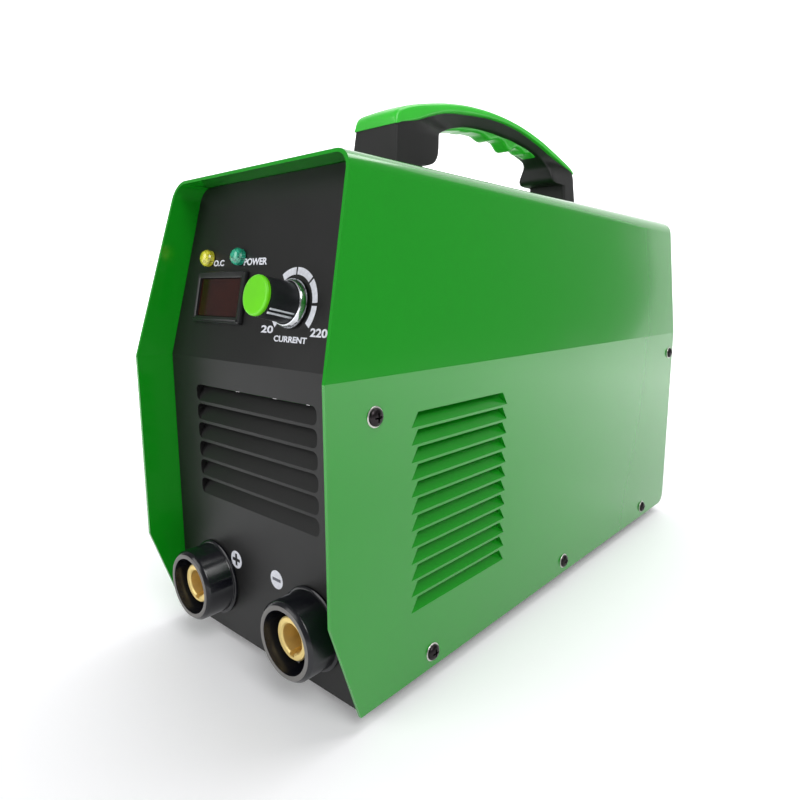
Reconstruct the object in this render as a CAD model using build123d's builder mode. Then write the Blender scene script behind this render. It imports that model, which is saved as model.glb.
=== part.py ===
"""Stick welding inverter: a sheet-metal cabinet with its carrying handle, front controls,
weld cable sockets, rear fan and mains entry, and the power electronics inside.

Millimetres. X runs across the cabinet, Y from the front to the rear, Z up. The origin is
on the floor, in the middle of the overall width and length.
"""
from build123d import *
import os
from math import cos, radians, sin, tan

os.makedirs("parts", exist_ok=True)

# ---------------------------------------------------------------- driving sizes
# cabinet
cover_width = 140.0
cover_height = 219.0
cover_length = 353.0
cover_sheet = 1.5
crease_height = 135.7          # the side walls lean inwards above this fold
side_lean = 8.15               # how far each wall leans in at the top
top_bend = 9.0
front_kink = 44.3              # below this the front edge runs back
front_top_setback = 22.0
front_low_setback = 14.9
rear_corner = 8.0
nest_gap = 0.2                 # between sheets that nest in each other
foot_height = 6.0
foot_radius = 9.0
foot_inset = 24.0
tray_drop = 1.0                # the tray's underside lies below the cover's edge
tray_sheet = 1.5
tray_flange = 16.0

# panels
panel_sheet = 1.5
panel_recess = 18.0
panel_slant = 12.0             # degrees, above the fold
panel_flange = 14.0
rear_recess = 2.0

# fasteners
screw_head_radius = 4.2
screw_head_height = 2.2
screw_radius = 2.0
screw_length = 8.0
screw_gap = 0.15
side_screw_height = 120.8
low_screw_height = 7.4
low_screw_places = (59.6, 183.9, 307.8)

# louvres
louvre_rows = 12
louvre_pitch = 7.36
louvre_first = 112.9           # lower edge of the top row
louvre_front = 45.2
louvre_rear = 116.4
louvre_rise = 6.2
louvre_depth = 5.0
louvre_end_slope = 4.0
vent_rows = 6
vent_pitch = 9.42
vent_first = 122.4             # upper edge of the top row
vent_left = -46.4
vent_right = 43.7
vent_rise = 8.0
vent_depth = 5.0
vent_corner = 3.0

# sockets
socket_spread = 37.3
socket_height = 24.9
collar_radius = 17.2
collar_reach = 15.5
collar_bore = 13.6
collar_chamfer = 1.8
collar_flange_radius = 18.6
collar_flange = 1.5
insert_radius = 9.5
insert_recess = 5.2
insert_bore = 6.5
insert_bore_depth = 26.0
stud_radius = 6.0
stud_reach = 22.0              # behind the panel
key_width = 4.0
key_depth = 1.4

# controls, heights are measured from the fold up the panel
dial_x = 23.6
dial_up = 27.0
knob_radius = 8.7
knob_reach = 18.9
knob_cap = 2.2
skirt_radius = 11.3
skirt_height = 3.0
knob_gap = 0.8
bushing_radius = 4.5
bushing_reach = 6.0
shaft_radius = 3.0
running_gap = 0.05
nut_across = 12.0
nut_height = 2.2
lamp_up = 47.8
lamp_places = {"overload_lamp": -44.4, "power_lamp": -18.6}
lamp_radius = 4.0
lamp_reach = 4.6
display_x = -29.8
display_up = 29.0
display_width = 39.0
display_height = 24.5
display_reach = 2.5
window_width = 34.0
window_height = 18.0
window_recess = 1.4

# handle, distances from the cover's front edge and heights above the cover
handle_front = 97.0
handle_rear = 288.0
handle_half = 15.0
handle_peak = 52.5
handle_inner_front = 130.5
handle_inner_rear = 256.0
grip_wall = 5.0                # body left on each side of the finger grip

# rear
fan_size = 92.0
fan_depth = 25.0
fan_up = 148.0                 # above the cover's lower edge
fan_hole = 43.0
hub_radius = 16.0
blade_count = 7
blade_tip = 40.5
guard_wire = 0.9
guard_spoke = 1.0
guard_eye = 2.8
switch_x = -40.0
switch_up = 58.0
switch_width = 28.0
switch_height = 21.0
rocker_tilt = 10.0
gland_x = 36.0
gland_up = 52.0
gland_thread = 8.0
gland_across = 22.0
gland_reach = 24.0
gland_bore = 5.5
earth_x = 36.0
earth_up = 22.0
earth_radius = 3.0
earth_free = 4.8
earth_thread = 2.5             # radius of the part that the nuts hold
earth_reach = 15.0

# inside
board_thick = 1.6
board_width = 112.0
board_front = 62.0
board_rear = 300.0
board_middle = 145.0           # the middle pair of standoffs
standoff = 10.0
touch = 0.15                   # left between pieces that are screwed or soldered together

# fan guard, switch bezel and gland
guard_bend = 3.0               # how far the rings stand off their mounting eyes
bezel_rim = 2.5
bezel_thick = 2.0
wall = 1.8
gland_flange = 5.0

# heatsinks
sink_length = 130.0
sink_width = 42.0
sink_height = 70.0
sink_base = 5.0
fin_count = 7
fin = 1.6

# capacitors, transformer and busbars
capacitor_radius = 12.5
core_x = 20.0
core_width = 55.0
core_depth = 21.0
core_height = 56.0
core_leg = 9.4
bar_thick = 2.0
bar_width = 16.0

# ---------------------------------------------------------------- derived places
overall_length = cover_length - rear_recess + gland_reach
front = -overall_length / 2
cover_low = foot_height + tray_drop
cover_top = cover_low + cover_height
fold = cover_low + crease_height
panel_y = front + panel_recess
rear_y = front + cover_length - rear_recess
tray_floor = foot_height + tray_sheet
half = cover_width / 2
inner_half = half - cover_sheet - nest_gap
socket_z = cover_low + socket_height


def facing(y):
    """Plane across the cabinet at y, seen from the front, local y up."""
    return Plane(origin=(0, y, 0), x_dir=(1, 0, 0), z_dir=(0, -1, 0))


def on_slope(x, up, lift=0.0):
    """Plane on the slanting part of the front panel, lifted off its face."""
    a = radians(panel_slant)
    y = panel_y + up * sin(a) - lift * cos(a)
    z = fold + up * cos(a) + lift * sin(a)
    return Plane(origin=(x, y, z), x_dir=(1, 0, 0), z_dir=(0, -cos(a), sin(a)))


def from_side(x):
    """Plane along the cabinet at x, local x to the rear and local y up."""
    return Plane(origin=(x, 0, 0), x_dir=(0, 1, 0), z_dir=(1, 0, 0))


def from_left(x):
    """Plane along the cabinet at x, facing -X, local x to the front."""
    return Plane(origin=(x, 0, 0), x_dir=(0, -1, 0), z_dir=(-1, 0, 0))


def save(part, name):
    part.label = name
    export_step(part, f"parts/{name}.step")


def house_section(inset, low):
    """Cross-section of the cabinet, set in from the cover's outside by inset."""
    with BuildSketch(mode=Mode.PRIVATE) as section:
        with BuildLine():
            wide = half - inset
            narrow = half - side_lean - inset
            Polyline(
                (-wide, low),
                (-wide, fold),
                (-narrow, cover_top - inset),
                (narrow, cover_top - inset),
                (wide, fold),
                (wide, low),
                close=True,
            )
        make_face()
        fillet(section.vertices().group_by(Axis.Y)[-1], max(top_bend - inset, 1.0))
    return section.sketch


# ---------------------------------------------------------------- side louvres
louvre_gap = louvre_pitch - louvre_rise


def louvre_bank(grow, outer):
    """Wedges pressed into the right wall, one for each row, that start at x = outer."""
    with BuildPart(mode=Mode.PRIVATE) as bank:
        with BuildSketch(facing(front + louvre_rear + grow)):
            for row in range(louvre_rows):
                low = cover_low + louvre_first - row * louvre_pitch
                with BuildLine():
                    run = (outer - half) * (louvre_rise + grow) / (louvre_depth + grow)
                    Polyline(
                        (outer, low - grow - run),
                        (half - louvre_depth - grow, low + louvre_rise),
                        (outer, low + louvre_rise),
                        close=True,
                    )
                make_face()
        extrude(amount=louvre_rear - louvre_front + 2 * grow)
        with BuildSketch(from_side(half + 2)):
            for row in range(louvre_rows):
                low = cover_low + louvre_first - row * louvre_pitch
                with BuildLine():
                    Polyline(
                        (front + louvre_front - grow, low - grow),
                        (front + louvre_rear + grow, low - grow),
                        (front + louvre_rear + grow - louvre_end_slope, low + louvre_rise),
                        (front + louvre_front - grow + louvre_end_slope, low + louvre_rise),
                        close=True,
                    )
                make_face()
        extrude(amount=-louvre_depth - 4, mode=Mode.INTERSECT)
    return bank.part


louvre_skin = louvre_bank(cover_sheet * 0.6, half)
louvre_void = louvre_bank(0.0, half + 0.5)

with BuildPart() as top_cover:
    with BuildSketch(facing(front)):
        add(house_section(0, cover_low))
    extrude(amount=-cover_length)
    # the open front: its edge runs back above and below the upright middle
    with BuildSketch(from_side(half + 1)):
        with BuildLine():
            Polyline(
                (front - 5, cover_low - 5),
                (front + front_low_setback + 1, cover_low - 5),
                (front + front_low_setback, cover_low),
                (front, cover_low + front_kink),
                (front, fold),
                (front + front_top_setback, cover_top),
                (front + front_top_setback, cover_top + 5),
                (front - 5, cover_top + 5),
                close=True,
            )
        make_face()
    extrude(amount=-cover_width - 2, mode=Mode.SUBTRACT)
    with BuildSketch(from_side(half + 1)):
        with Locations((front + cover_length, cover_low)):
            Rectangle(2 * rear_corner, 2 * rear_corner)
        with Locations((front + cover_length - rear_corner, cover_low + rear_corner)):
            Circle(rear_corner, mode=Mode.SUBTRACT)
    extrude(amount=-cover_width - 2, mode=Mode.SUBTRACT)
    with BuildSketch(facing(front - 10)):
        add(house_section(cover_sheet, cover_low - 10))
    extrude(amount=-cover_length - 20, mode=Mode.SUBTRACT)
    for bank, mode in ((louvre_skin, Mode.ADD), (louvre_void, Mode.SUBTRACT)):
        add(bank, mode=mode)
        add(bank.mirror(Plane.YZ), mode=mode)
    # screw holes
    upper = [(y, cover_low + side_screw_height)
             for y in (panel_y + panel_sheet + 4.8, rear_y - panel_sheet - 4.8)]
    lower = [(front + y, cover_low + low_screw_height) for y in low_screw_places]
    with BuildSketch(from_side(half + 1)):
        with Locations(*upper, *lower):
            Circle(screw_radius + screw_gap)
    extrude(amount=-cover_width - 2, mode=Mode.SUBTRACT)
    # holes for the handle's screws
    handle_screw_places = [(0, front + handle_front + 9), (0, front + handle_rear - 8)]
    with BuildSketch(Plane.XY.offset(cover_top + 1)):
        with Locations(*handle_screw_places):
            Circle(screw_radius + screw_gap)
    extrude(amount=-10, mode=Mode.SUBTRACT)
save(top_cover.part, "top_cover")

# ---------------------------------------------------------------- base tray
tray_front = panel_y + panel_sheet + nest_gap
tray_rear = rear_y - panel_sheet - nest_gap
foot_places = [(x, y) for x in (-inner_half + foot_inset, inner_half - foot_inset)
               for y in (tray_front + foot_inset, tray_rear - foot_inset)]
tie_places = [(x, y) for x in (-inner_half + 12, inner_half - 12)
              for y in (tray_front + 8, tray_rear - 8)]
standoff_places = [(x, y) for x in (-board_width / 2 + 6, board_width / 2 - 6)
                   for y in (front + board_front + 22, front + board_middle,
                             front + board_rear - 8)]
with BuildPart() as base_tray:
    with BuildSketch(Plane.XY.offset(foot_height)):
        with Locations((0, (tray_front + tray_rear) / 2)):
            Rectangle(2 * inner_half, tray_rear - tray_front)
    extrude(amount=tray_flange)
    with BuildSketch(Plane.XY.offset(tray_floor)):
        with Locations((0, (tray_front + tray_rear) / 2)):
            Rectangle(2 * (inner_half - tray_sheet), cover_length)
    extrude(amount=tray_flange, mode=Mode.SUBTRACT)
    # the flanges stop short of the panels' own flanges
    with BuildSketch(Plane.XY.offset(tray_floor)):
        for y in (tray_front, tray_rear):
            with Locations((0, y)):
                Rectangle(cover_width, 2 * (panel_flange + nest_gap))
    extrude(amount=tray_flange, mode=Mode.SUBTRACT)
    with BuildSketch(Plane.XY.offset(foot_height)):
        with Locations(*foot_places, *tie_places, *standoff_places):
            Circle(screw_radius + screw_gap)
    extrude(amount=tray_sheet, mode=Mode.SUBTRACT)
    with BuildSketch(from_side(half + 1)):
        with Locations(*lower):
            Circle(screw_radius + screw_gap)
    extrude(amount=-cover_width - 2, mode=Mode.SUBTRACT)
save(base_tray.part, "base_tray")

with BuildPart() as rubber_feet:
    with BuildSketch(Plane.XY):
        with Locations(*foot_places):
            Circle(foot_radius)
    extrude(amount=foot_height - touch, taper=4)
    with BuildSketch(Plane.XY):
        with Locations(*foot_places):
            Circle(screw_head_radius + 0.6)
    extrude(amount=2.6, mode=Mode.SUBTRACT)
    with BuildSketch(Plane.XY):
        with Locations(*foot_places):
            Circle(screw_radius + screw_gap)
    extrude(amount=foot_height, mode=Mode.SUBTRACT)
save(rubber_feet.part, "rubber_feet")


def pan_screw(plane, places, shank, head=screw_head_radius):
    """Screws whose heads stand on the plane and whose shanks run back into it."""
    with BuildPart(mode=Mode.PRIVATE) as screws:
        with BuildSketch(plane):
            with Locations(*places):
                Circle(head)
        extrude(amount=screw_head_height, taper=20)
        with BuildSketch(plane):
            with Locations(*places):
                Circle(screw_radius)
        extrude(amount=-shank)
        with BuildSketch(plane.offset(screw_head_height - 1.2)):
            with Locations(*places):
                Rectangle(3.6, 0.8)
                Rectangle(0.8, 3.6)
        extrude(amount=2, mode=Mode.SUBTRACT)
    return screws.part


under = Plane(origin=(0, 0, 2.6 - touch), x_dir=(1, 0, 0), z_dir=(0, 0, -1))
with BuildPart() as foot_screws:
    add(pan_screw(under, [(x, -y) for x, y in foot_places], 9.0))
save(foot_screws.part, "foot_screws")

side_places = upper + lower
with BuildPart() as cover_screws:
    add(pan_screw(from_side(half + touch), side_places, screw_length))
    add(pan_screw(from_left(-half - touch), [(-y, z) for y, z in side_places], screw_length))
save(cover_screws.part, "cover_screws")

# ---------------------------------------------------------------- front panel
slope = tan(radians(panel_slant))
panel_end = panel_y + (cover_top - fold) * slope


def panel_layer(near, far):
    """Full-width layer of the front panel between two depths behind its face."""
    with BuildPart(mode=Mode.PRIVATE) as layer:
        with BuildSketch(from_side(half)):
            with BuildLine():
                Polyline(
                    (panel_y + near, foot_height),
                    (panel_y + near, fold),
                    (panel_end + near, cover_top),
                    (panel_end + far, cover_top),
                    (panel_y + far, fold),
                    (panel_y + far, foot_height),
                    close=True,
                )
            make_face()
        extrude(amount=-cover_width)
    return layer.part


panel_inset = cover_sheet + nest_gap


def flanged(near, far, low):
    """Rim of sheet that lines the inside of the cover."""
    with BuildPart(mode=Mode.PRIVATE) as rim:
        with BuildSketch(facing(near)):
            add(house_section(panel_inset, low))
            add(house_section(panel_inset + panel_sheet, low - 20), mode=Mode.SUBTRACT)
        extrude(amount=near - far)
    return rim.part


def vent_bank(grow, face):
    """Wedges pressed into the front panel, one for each vent, that start at y = face."""
    with BuildPart(mode=Mode.PRIVATE) as bank:
        with BuildSketch(from_side(vent_right + grow)):
            for row in range(vent_rows):
                high = cover_low + vent_first - row * vent_pitch
                with BuildLine():
                    Polyline(
                        (panel_y - 1, high),
                        (panel_y - 1, high - vent_rise - grow),
                        (panel_y, high - vent_rise - grow),
                        (panel_y + vent_depth + grow, high),
                        close=True,
                    )
                make_face()
        extrude(amount=-(vent_right - vent_left + 2 * grow))
        with BuildSketch(facing(face)) as outline:
            for row in range(vent_rows):
                high = cover_low + vent_first - row * vent_pitch
                tall = vent_rise + grow
                with Locations(((vent_left + vent_right) / 2, high - tall / 2)):
                    Rectangle(vent_right - vent_left + 2 * grow, tall)
            fillet(outline.vertices(), vent_corner)
        extrude(amount=-vent_depth - 6, mode=Mode.INTERSECT)
    return bank.part


with BuildPart() as front_panel:
    with BuildSketch(facing(front)):
        add(house_section(panel_inset, foot_height))
    extrude(amount=-cover_length / 2)
    add(panel_layer(0, panel_sheet), mode=Mode.INTERSECT)
    add(flanged(front, front + cover_length / 2, tray_floor + nest_gap)
        & panel_layer(panel_sheet, panel_sheet + panel_flange))
    # flange that stands on the tray's floor
    with BuildSketch(Plane.XY.offset(tray_floor + touch)):
        with Locations((0, panel_y + panel_sheet + panel_flange / 2)):
            Rectangle(2 * (inner_half - panel_sheet), panel_flange)
    extrude(amount=panel_sheet)
    add(vent_bank(panel_sheet * 0.7, panel_y))
    add(vent_bank(0.0, panel_y - 1), mode=Mode.SUBTRACT)
    with BuildSketch(facing(panel_y - 1)):
        with Locations((-socket_spread, socket_z), (socket_spread, socket_z)):
            Circle(collar_bore + 0.4)
    extrude(amount=-panel_sheet - 2, mode=Mode.SUBTRACT)
    with BuildSketch(on_slope(0, 0, 1)):
        with Locations((dial_x, dial_up)):
            Circle(bushing_radius + 0.2)
        with Locations(*[(x, lamp_up) for x in lamp_places.values()]):
            Circle(lamp_radius - 0.6)
        with Locations((display_x, display_up)):
            Rectangle(window_width + 2, window_height + 2)
    extrude(amount=-panel_sheet - 2, mode=Mode.SUBTRACT)
    with BuildSketch(from_side(half + 1)):
        with Locations(upper[0]):
            Circle(screw_radius + screw_gap)
    extrude(amount=-cover_width - 2, mode=Mode.SUBTRACT)
    with BuildSketch(Plane.XY.offset(foot_height)):
        with Locations(*tie_places[0::2]):
            Circle(screw_radius + screw_gap)
    extrude(amount=tray_flange, mode=Mode.SUBTRACT)
save(front_panel.part, "front_panel")

# ---------------------------------------------------------------- rear panel
fan_z = cover_low + fan_up
fan_bolt = fan_size / 2 - 4.75
fan_bolts = [(x, fan_z + z) for x in (-fan_bolt, fan_bolt) for z in (-fan_bolt, fan_bolt)]
switch_z = cover_low + switch_up
gland_z = cover_low + gland_up
earth_z = cover_low + earth_up
with BuildPart() as rear_panel:
    with BuildSketch(facing(rear_y - panel_sheet)):
        add(house_section(panel_inset, foot_height))
    extrude(amount=-panel_sheet)
    add(flanged(rear_y - panel_sheet - panel_flange, rear_y - panel_sheet, tray_floor + nest_gap))
    with BuildSketch(Plane.XY.offset(tray_floor + touch)):
        with Locations((0, rear_y - panel_sheet - panel_flange / 2)):
            Rectangle(2 * (inner_half - panel_sheet), panel_flange)
    extrude(amount=panel_sheet)
    with BuildSketch(facing(rear_y - 5)):
        with Locations((0, fan_z)):
            Circle(fan_hole)
        with Locations(*fan_bolts):
            Circle(screw_radius + screw_gap)
        with Locations((switch_x, switch_z)):
            Rectangle(switch_width, switch_height)
        with Locations((gland_x, gland_z)):
            Circle(gland_thread + 0.2)
        with Locations((earth_x, earth_z)):
            Circle(earth_thread + 0.2)
        # slots for the air that leaves beside the mains entry
        with Locations((switch_x, earth_z)):
            with GridLocations(8, 1, 5, 1):
                SlotOverall(18, 3.6, rotation=90)
    extrude(amount=-10, mode=Mode.SUBTRACT)
    with BuildSketch(from_side(half + 1)):
        with Locations(upper[1]):
            Circle(screw_radius + screw_gap)
    extrude(amount=-cover_width - 2, mode=Mode.SUBTRACT)
    with BuildSketch(Plane.XY.offset(foot_height)):
        with Locations(*tie_places[1::2]):
            Circle(screw_radius + screw_gap)
    extrude(amount=tray_flange, mode=Mode.SUBTRACT)
save(rear_panel.part, "rear_panel")

below_tray = Plane(origin=(0, 0, foot_height - touch), x_dir=(1, 0, 0), z_dir=(0, 0, -1))
with BuildPart() as panel_screws:
    add(pan_screw(below_tray, [(x, -y) for x, y in tie_places], 6.0))
save(panel_screws.part, "panel_screws")

# ---------------------------------------------------------------- handle


def handle_point(distance, height):
    return (front + distance, cover_top + touch + height)


# line between the body and the top grip, and the top grip's own arch
seam_points = [(112, 33), (124, 37.5), (142, 42.8), (166, 46.6), (198, 48.4), (243, 42.4)]
seam_start = handle_point(handle_front, 30.5)
seam_end = handle_point(handle_rear - 3.4, 32.0)


def finger_profile():
    """Side view of the soft insert under the arch, waved for the fingers."""
    start = handle_point(handle_inner_rear + 3, 24)
    crest = handle_point(172, 43.0)
    toe = handle_point(handle_inner_rear - 2, 24)
    with BuildSketch(mode=Mode.PRIVATE) as profile:
        with BuildLine():
            Spline(
                start,
                handle_point(handle_inner_rear + 2, 33),
                handle_point(240, 39.6),
                handle_point(210, 43.4),
                crest,
            )
            Spline(
                crest,
                handle_point(176, 40.2),
                handle_point(196, 39.6),
                handle_point(212, 36.4),
                handle_point(224, 38.2),
                handle_point(238, 35.6),
                handle_point(handle_inner_rear - 7, 28.5),
                toe,
            )
            Line(toe, start)
        make_face()
    return profile.sketch


with BuildPart() as handle_body:
    with BuildSketch(from_side(0)):
        with BuildLine():
            Line(handle_point(handle_front, 0), seam_start)
            Spline(seam_start, *[handle_point(*p) for p in seam_points], seam_end)
            Line(seam_end, handle_point(handle_rear, 12))
            Line(handle_point(handle_rear, 12), handle_point(handle_rear, 0))
            Polyline(
                handle_point(handle_rear, 0),
                handle_point(handle_rear - 16, 0),
                handle_point(handle_rear - 16, 22),
                handle_point(handle_inner_rear, 22),
                handle_point(handle_inner_rear, 30),
            )
            Spline(
                handle_point(handle_inner_rear, 30),
                handle_point(240, 37.0),
                handle_point(210, 41.4),
                handle_point(178, 41.6),
                handle_point(150, 37.4),
                handle_point(handle_inner_front, 29),
            )
            Polyline(
                handle_point(handle_inner_front, 29),
                handle_point(handle_inner_front, 17),
                handle_point(handle_inner_front - 6, 12),
                handle_point(handle_front + 18, 12),
                handle_point(handle_front + 18, 0),
                handle_point(handle_front, 0),
            )
        make_face()
    extrude(amount=handle_half, both=True)
    fillet(handle_body.edges().filter_by(Axis.Z).group_by(Axis.Y)[0], 2.0)
    # bores for the screws that come up through the cover
    with BuildSketch(Plane.XY.offset(cover_top + touch)):
        with Locations(*handle_screw_places):
            Circle(screw_radius + 0.05)
    extrude(amount=12, mode=Mode.SUBTRACT)
    # pocket for the finger grip
    with BuildSketch(from_side(0)):
        add(finger_profile())
    extrude(amount=handle_half - grip_wall, both=True, mode=Mode.SUBTRACT)
save(handle_body.part, "handle_body")

with BuildPart() as handle_top_grip:
    with BuildSketch(from_side(0)):
        with BuildLine():
            grip_seam = [(x, z + touch) for x, z in
                         [seam_start, *[handle_point(*p) for p in seam_points], seam_end]]
            Spline(*grip_seam)
            crown_front = handle_point(handle_front + 6, 38.5)
            crown_rear = handle_point(handle_rear - 8, 37.4)
            ThreePointArc(crown_front, handle_point(187, handle_peak), crown_rear)
            Line(grip_seam[0], handle_point(handle_front + 0.6, 33.5))
            Spline(handle_point(handle_front + 0.6, 33.5), crown_front,
                   tangents=((0.2, 1), (0.9, 0.35)))
            Spline(crown_rear, grip_seam[-1], tangents=((0.94, -0.3), (0.4, -1)))
        make_face()
    extrude(amount=handle_half, both=True)
save(handle_top_grip.part, "handle_top_grip")

with BuildPart() as handle_finger_grip:
    with BuildSketch(from_side(0)):
        add(finger_profile())
    extrude(amount=handle_half - grip_wall - touch, both=True)
save(handle_finger_grip.part, "handle_finger_grip")

inside_top = Plane(origin=(0, 0, cover_top - cover_sheet - touch), x_dir=(1, 0, 0),
                   z_dir=(0, 0, -1))
with BuildPart() as handle_screws:
    add(pan_screw(inside_top, [(x, -y) for x, y in handle_screw_places], 12.0))
save(handle_screws.part, "handle_screws")

# ---------------------------------------------------------------- weld cable sockets
panel_back = panel_y + panel_sheet
for sign, side in ((-1, "positive"), (1, "negative")):
    x = sign * socket_spread
    with BuildPart() as collar:
        with BuildSketch(facing(panel_y - touch)):
            with Locations((x, socket_z)):
                Circle(collar_flange_radius)
        extrude(amount=collar_flange)
        with BuildSketch(facing(panel_y - touch)):
            with Locations((x, socket_z)):
                Circle(collar_radius)
        extrude(amount=collar_reach - touch)
        chamfer(collar.faces().sort_by(Axis.Y)[0].edges(), collar_chamfer)
        # spigot through the panel and the floor of the well
        with BuildSketch(facing(panel_back)):
            with Locations((x, socket_z)):
                Circle(collar_bore + 0.2)
        extrude(amount=panel_sheet + 1)
        with BuildSketch(facing(panel_y - collar_reach - 1)):
            with Locations((x, socket_z)):
                Circle(collar_bore)
        extrude(amount=-collar_reach + 1, mode=Mode.SUBTRACT)
        with BuildSketch(facing(panel_y - collar_reach - 1)):
            with Locations((x, socket_z)):
                Circle(insert_radius + touch)
        extrude(amount=-collar_reach - 10, mode=Mode.SUBTRACT)
    save(collar.part, f"{side}_socket_collar")

    insert_front = panel_y - collar_reach + insert_recess
    with BuildPart() as insert:
        with BuildSketch(facing(insert_front)):
            with Locations((x, socket_z)):
                Circle(insert_radius)
        extrude(amount=-(panel_back + 5 - insert_front))
        with BuildSketch(facing(panel_back + 5)):
            with Locations((x, socket_z)):
                Circle(stud_radius + 3)
        extrude(amount=-(insert_bore_depth - (panel_back + 5 - insert_front) + 3))
        with BuildSketch(facing(panel_back + 5)):
            with Locations((x, socket_z)):
                Circle(stud_radius)
        extrude(amount=-stud_reach - 10)
        with BuildSketch(facing(insert_front)):
            with Locations((x, socket_z)):
                Circle(insert_bore)
        extrude(amount=-insert_bore_depth, mode=Mode.SUBTRACT)
        # keyway for the plug's peg
        with BuildSketch(facing(insert_front)):
            with Locations((x, socket_z - insert_bore)):
                Rectangle(key_width, 2 * key_depth)
        extrude(amount=-10, mode=Mode.SUBTRACT)
        # slot that the peg turns into
        with BuildSketch(facing(insert_front + 7)):
            with Locations((x, socket_z)):
                Circle(insert_bore + key_depth)
        extrude(amount=-4, mode=Mode.SUBTRACT)
    save(insert.part, f"{side}_socket_insert")

socket_places = [(-socket_spread, socket_z), (socket_spread, socket_z)]
with BuildPart() as socket_washers:
    with BuildSketch(facing(panel_back + touch)):
        with Locations(*socket_places):
            Circle(collar_bore + 3)
            Circle(insert_radius + touch, mode=Mode.SUBTRACT)
    extrude(amount=-2)
save(socket_washers.part, "socket_washers")

with BuildPart() as socket_nuts:
    with BuildSketch(facing(panel_back + touch + 2 + touch)):
        with Locations(*socket_places):
            RegularPolygon(13, 6)
            Circle(insert_radius + touch, mode=Mode.SUBTRACT)
    extrude(amount=-2.6)
save(socket_nuts.part, "socket_nuts")

# ---------------------------------------------------------------- current control
spin = on_slope(dial_x, dial_up)
with BuildPart() as potentiometer_body:
    with BuildSketch(spin.offset(-panel_sheet - touch)):
        Circle(12)
    extrude(amount=-11)
    with BuildSketch(spin.offset(-panel_sheet - touch)):
        Circle(bushing_radius)
    extrude(amount=panel_sheet + touch + bushing_reach)
    with BuildSketch(spin.offset(bushing_reach)):
        Circle(shaft_radius + running_gap)
    extrude(amount=-bushing_reach - 8, mode=Mode.SUBTRACT)
save(potentiometer_body.part, "potentiometer_body")

with BuildPart() as potentiometer_nut:
    with BuildSketch(spin.offset(touch)):
        RegularPolygon(nut_across / 2, 6, major_radius=False)
        Circle(bushing_radius + 0.03, mode=Mode.SUBTRACT)
    extrude(amount=nut_height)
save(potentiometer_nut.part, "potentiometer_nut")

with BuildPart() as potentiometer_shaft:
    with BuildSketch(spin.offset(-6)):
        Circle(shaft_radius)
    extrude(amount=6 + knob_reach - knob_cap - 3)
save(potentiometer_shaft.part, "potentiometer_shaft")

with BuildPart() as knob_body:
    with BuildSketch(spin.offset(knob_gap)):
        Circle(knob_radius)
    extrude(amount=knob_reach - knob_gap - knob_cap - touch)
    with BuildSketch(spin.offset(knob_gap)):
        Circle(nut_across / 2 + 1.2)
    extrude(amount=bushing_reach, mode=Mode.SUBTRACT)
    with BuildSketch(spin.offset(knob_gap)):
        Circle(shaft_radius + 0.02)
    extrude(amount=knob_reach - knob_gap - knob_cap - 2.8, mode=Mode.SUBTRACT)
save(knob_body.part, "knob_body")

with BuildPart() as knob_cap_part:
    with BuildSketch(spin.offset(knob_reach - knob_cap)):
        Circle(knob_radius)
    extrude(amount=knob_cap)
    fillet(knob_cap_part.faces().sort_by(Axis(spin.origin, spin.z_dir))[-1].edges(), 0.8)
save(knob_cap_part.part, "knob_cap")

with BuildPart() as knob_skirt:
    with BuildSketch(spin.offset(knob_gap)):
        Circle(skirt_radius)
    extrude(amount=skirt_height, taper=25)
    with BuildSketch(spin.offset(knob_gap)):
        Circle(knob_radius + 0.1)
    extrude(amount=skirt_height, mode=Mode.SUBTRACT)
save(knob_skirt.part, "knob_skirt")

# ---------------------------------------------------------------- lamps and display
for name, x in lamp_places.items():
    lamp_plane = on_slope(x, lamp_up)
    with BuildPart() as lamp:
        with BuildSketch(lamp_plane.offset(touch)):
            Circle(lamp_radius)
        extrude(amount=lamp_reach - lamp_radius * 0.6)
        with BuildSketch(lamp_plane.offset(lamp_reach - lamp_radius * 0.6 + touch)):
            Circle(lamp_radius)
        extrude(amount=lamp_radius * 0.6, taper=40)
        with BuildSketch(lamp_plane.offset(touch)):
            Circle(lamp_radius - 0.8)
        extrude(amount=-panel_sheet - 6)
    save(lamp.part, name)

with BuildPart() as lamp_holders:
    with BuildSketch(on_slope(0, 0, -panel_sheet - touch)):
        with Locations(*[(x, lamp_up) for x in lamp_places.values()]):
            Circle(lamp_radius + 1)
            Circle(lamp_radius - 0.7, mode=Mode.SUBTRACT)
    extrude(amount=-4)
save(lamp_holders.part, "lamp_holders")

screen = on_slope(display_x, display_up)
with BuildPart() as display_bezel:
    with BuildSketch(screen.offset(touch)):
        Rectangle(display_width, display_height)
    extrude(amount=display_reach - touch, taper=10)
    with BuildSketch(screen.offset(-panel_sheet - 4)):
        Rectangle(window_width + 1.6, window_height + 1.6)
    extrude(amount=panel_sheet + 4 + touch)
    with BuildSketch(screen.offset(-panel_sheet - 5)):
        Rectangle(window_width, window_height)
    extrude(amount=20, mode=Mode.SUBTRACT)
save(display_bezel.part, "display_bezel")

with BuildPart() as display_window:
    with BuildSketch(screen.offset(display_reach - window_recess)):
        Rectangle(window_width - 2 * touch, window_height - 2 * touch)
    extrude(amount=-2)
save(display_window.part, "display_window")

with BuildPart() as display_board:
    with BuildSketch(on_slope(0, 0, -panel_sheet - 11.2 - 2 * touch)):
        with Locations((-2, (lamp_up + 14) / 2)):
            Rectangle(104, lamp_up + 4)
    extrude(amount=-board_thick)
    # digits module behind the window
    with BuildSketch(screen.offset(-panel_sheet - 11.2 - 2 * touch)):
        Rectangle(window_width - 1, window_height - 1)
    extrude(amount=panel_sheet + 9)
save(display_board.part, "display_board")

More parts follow.
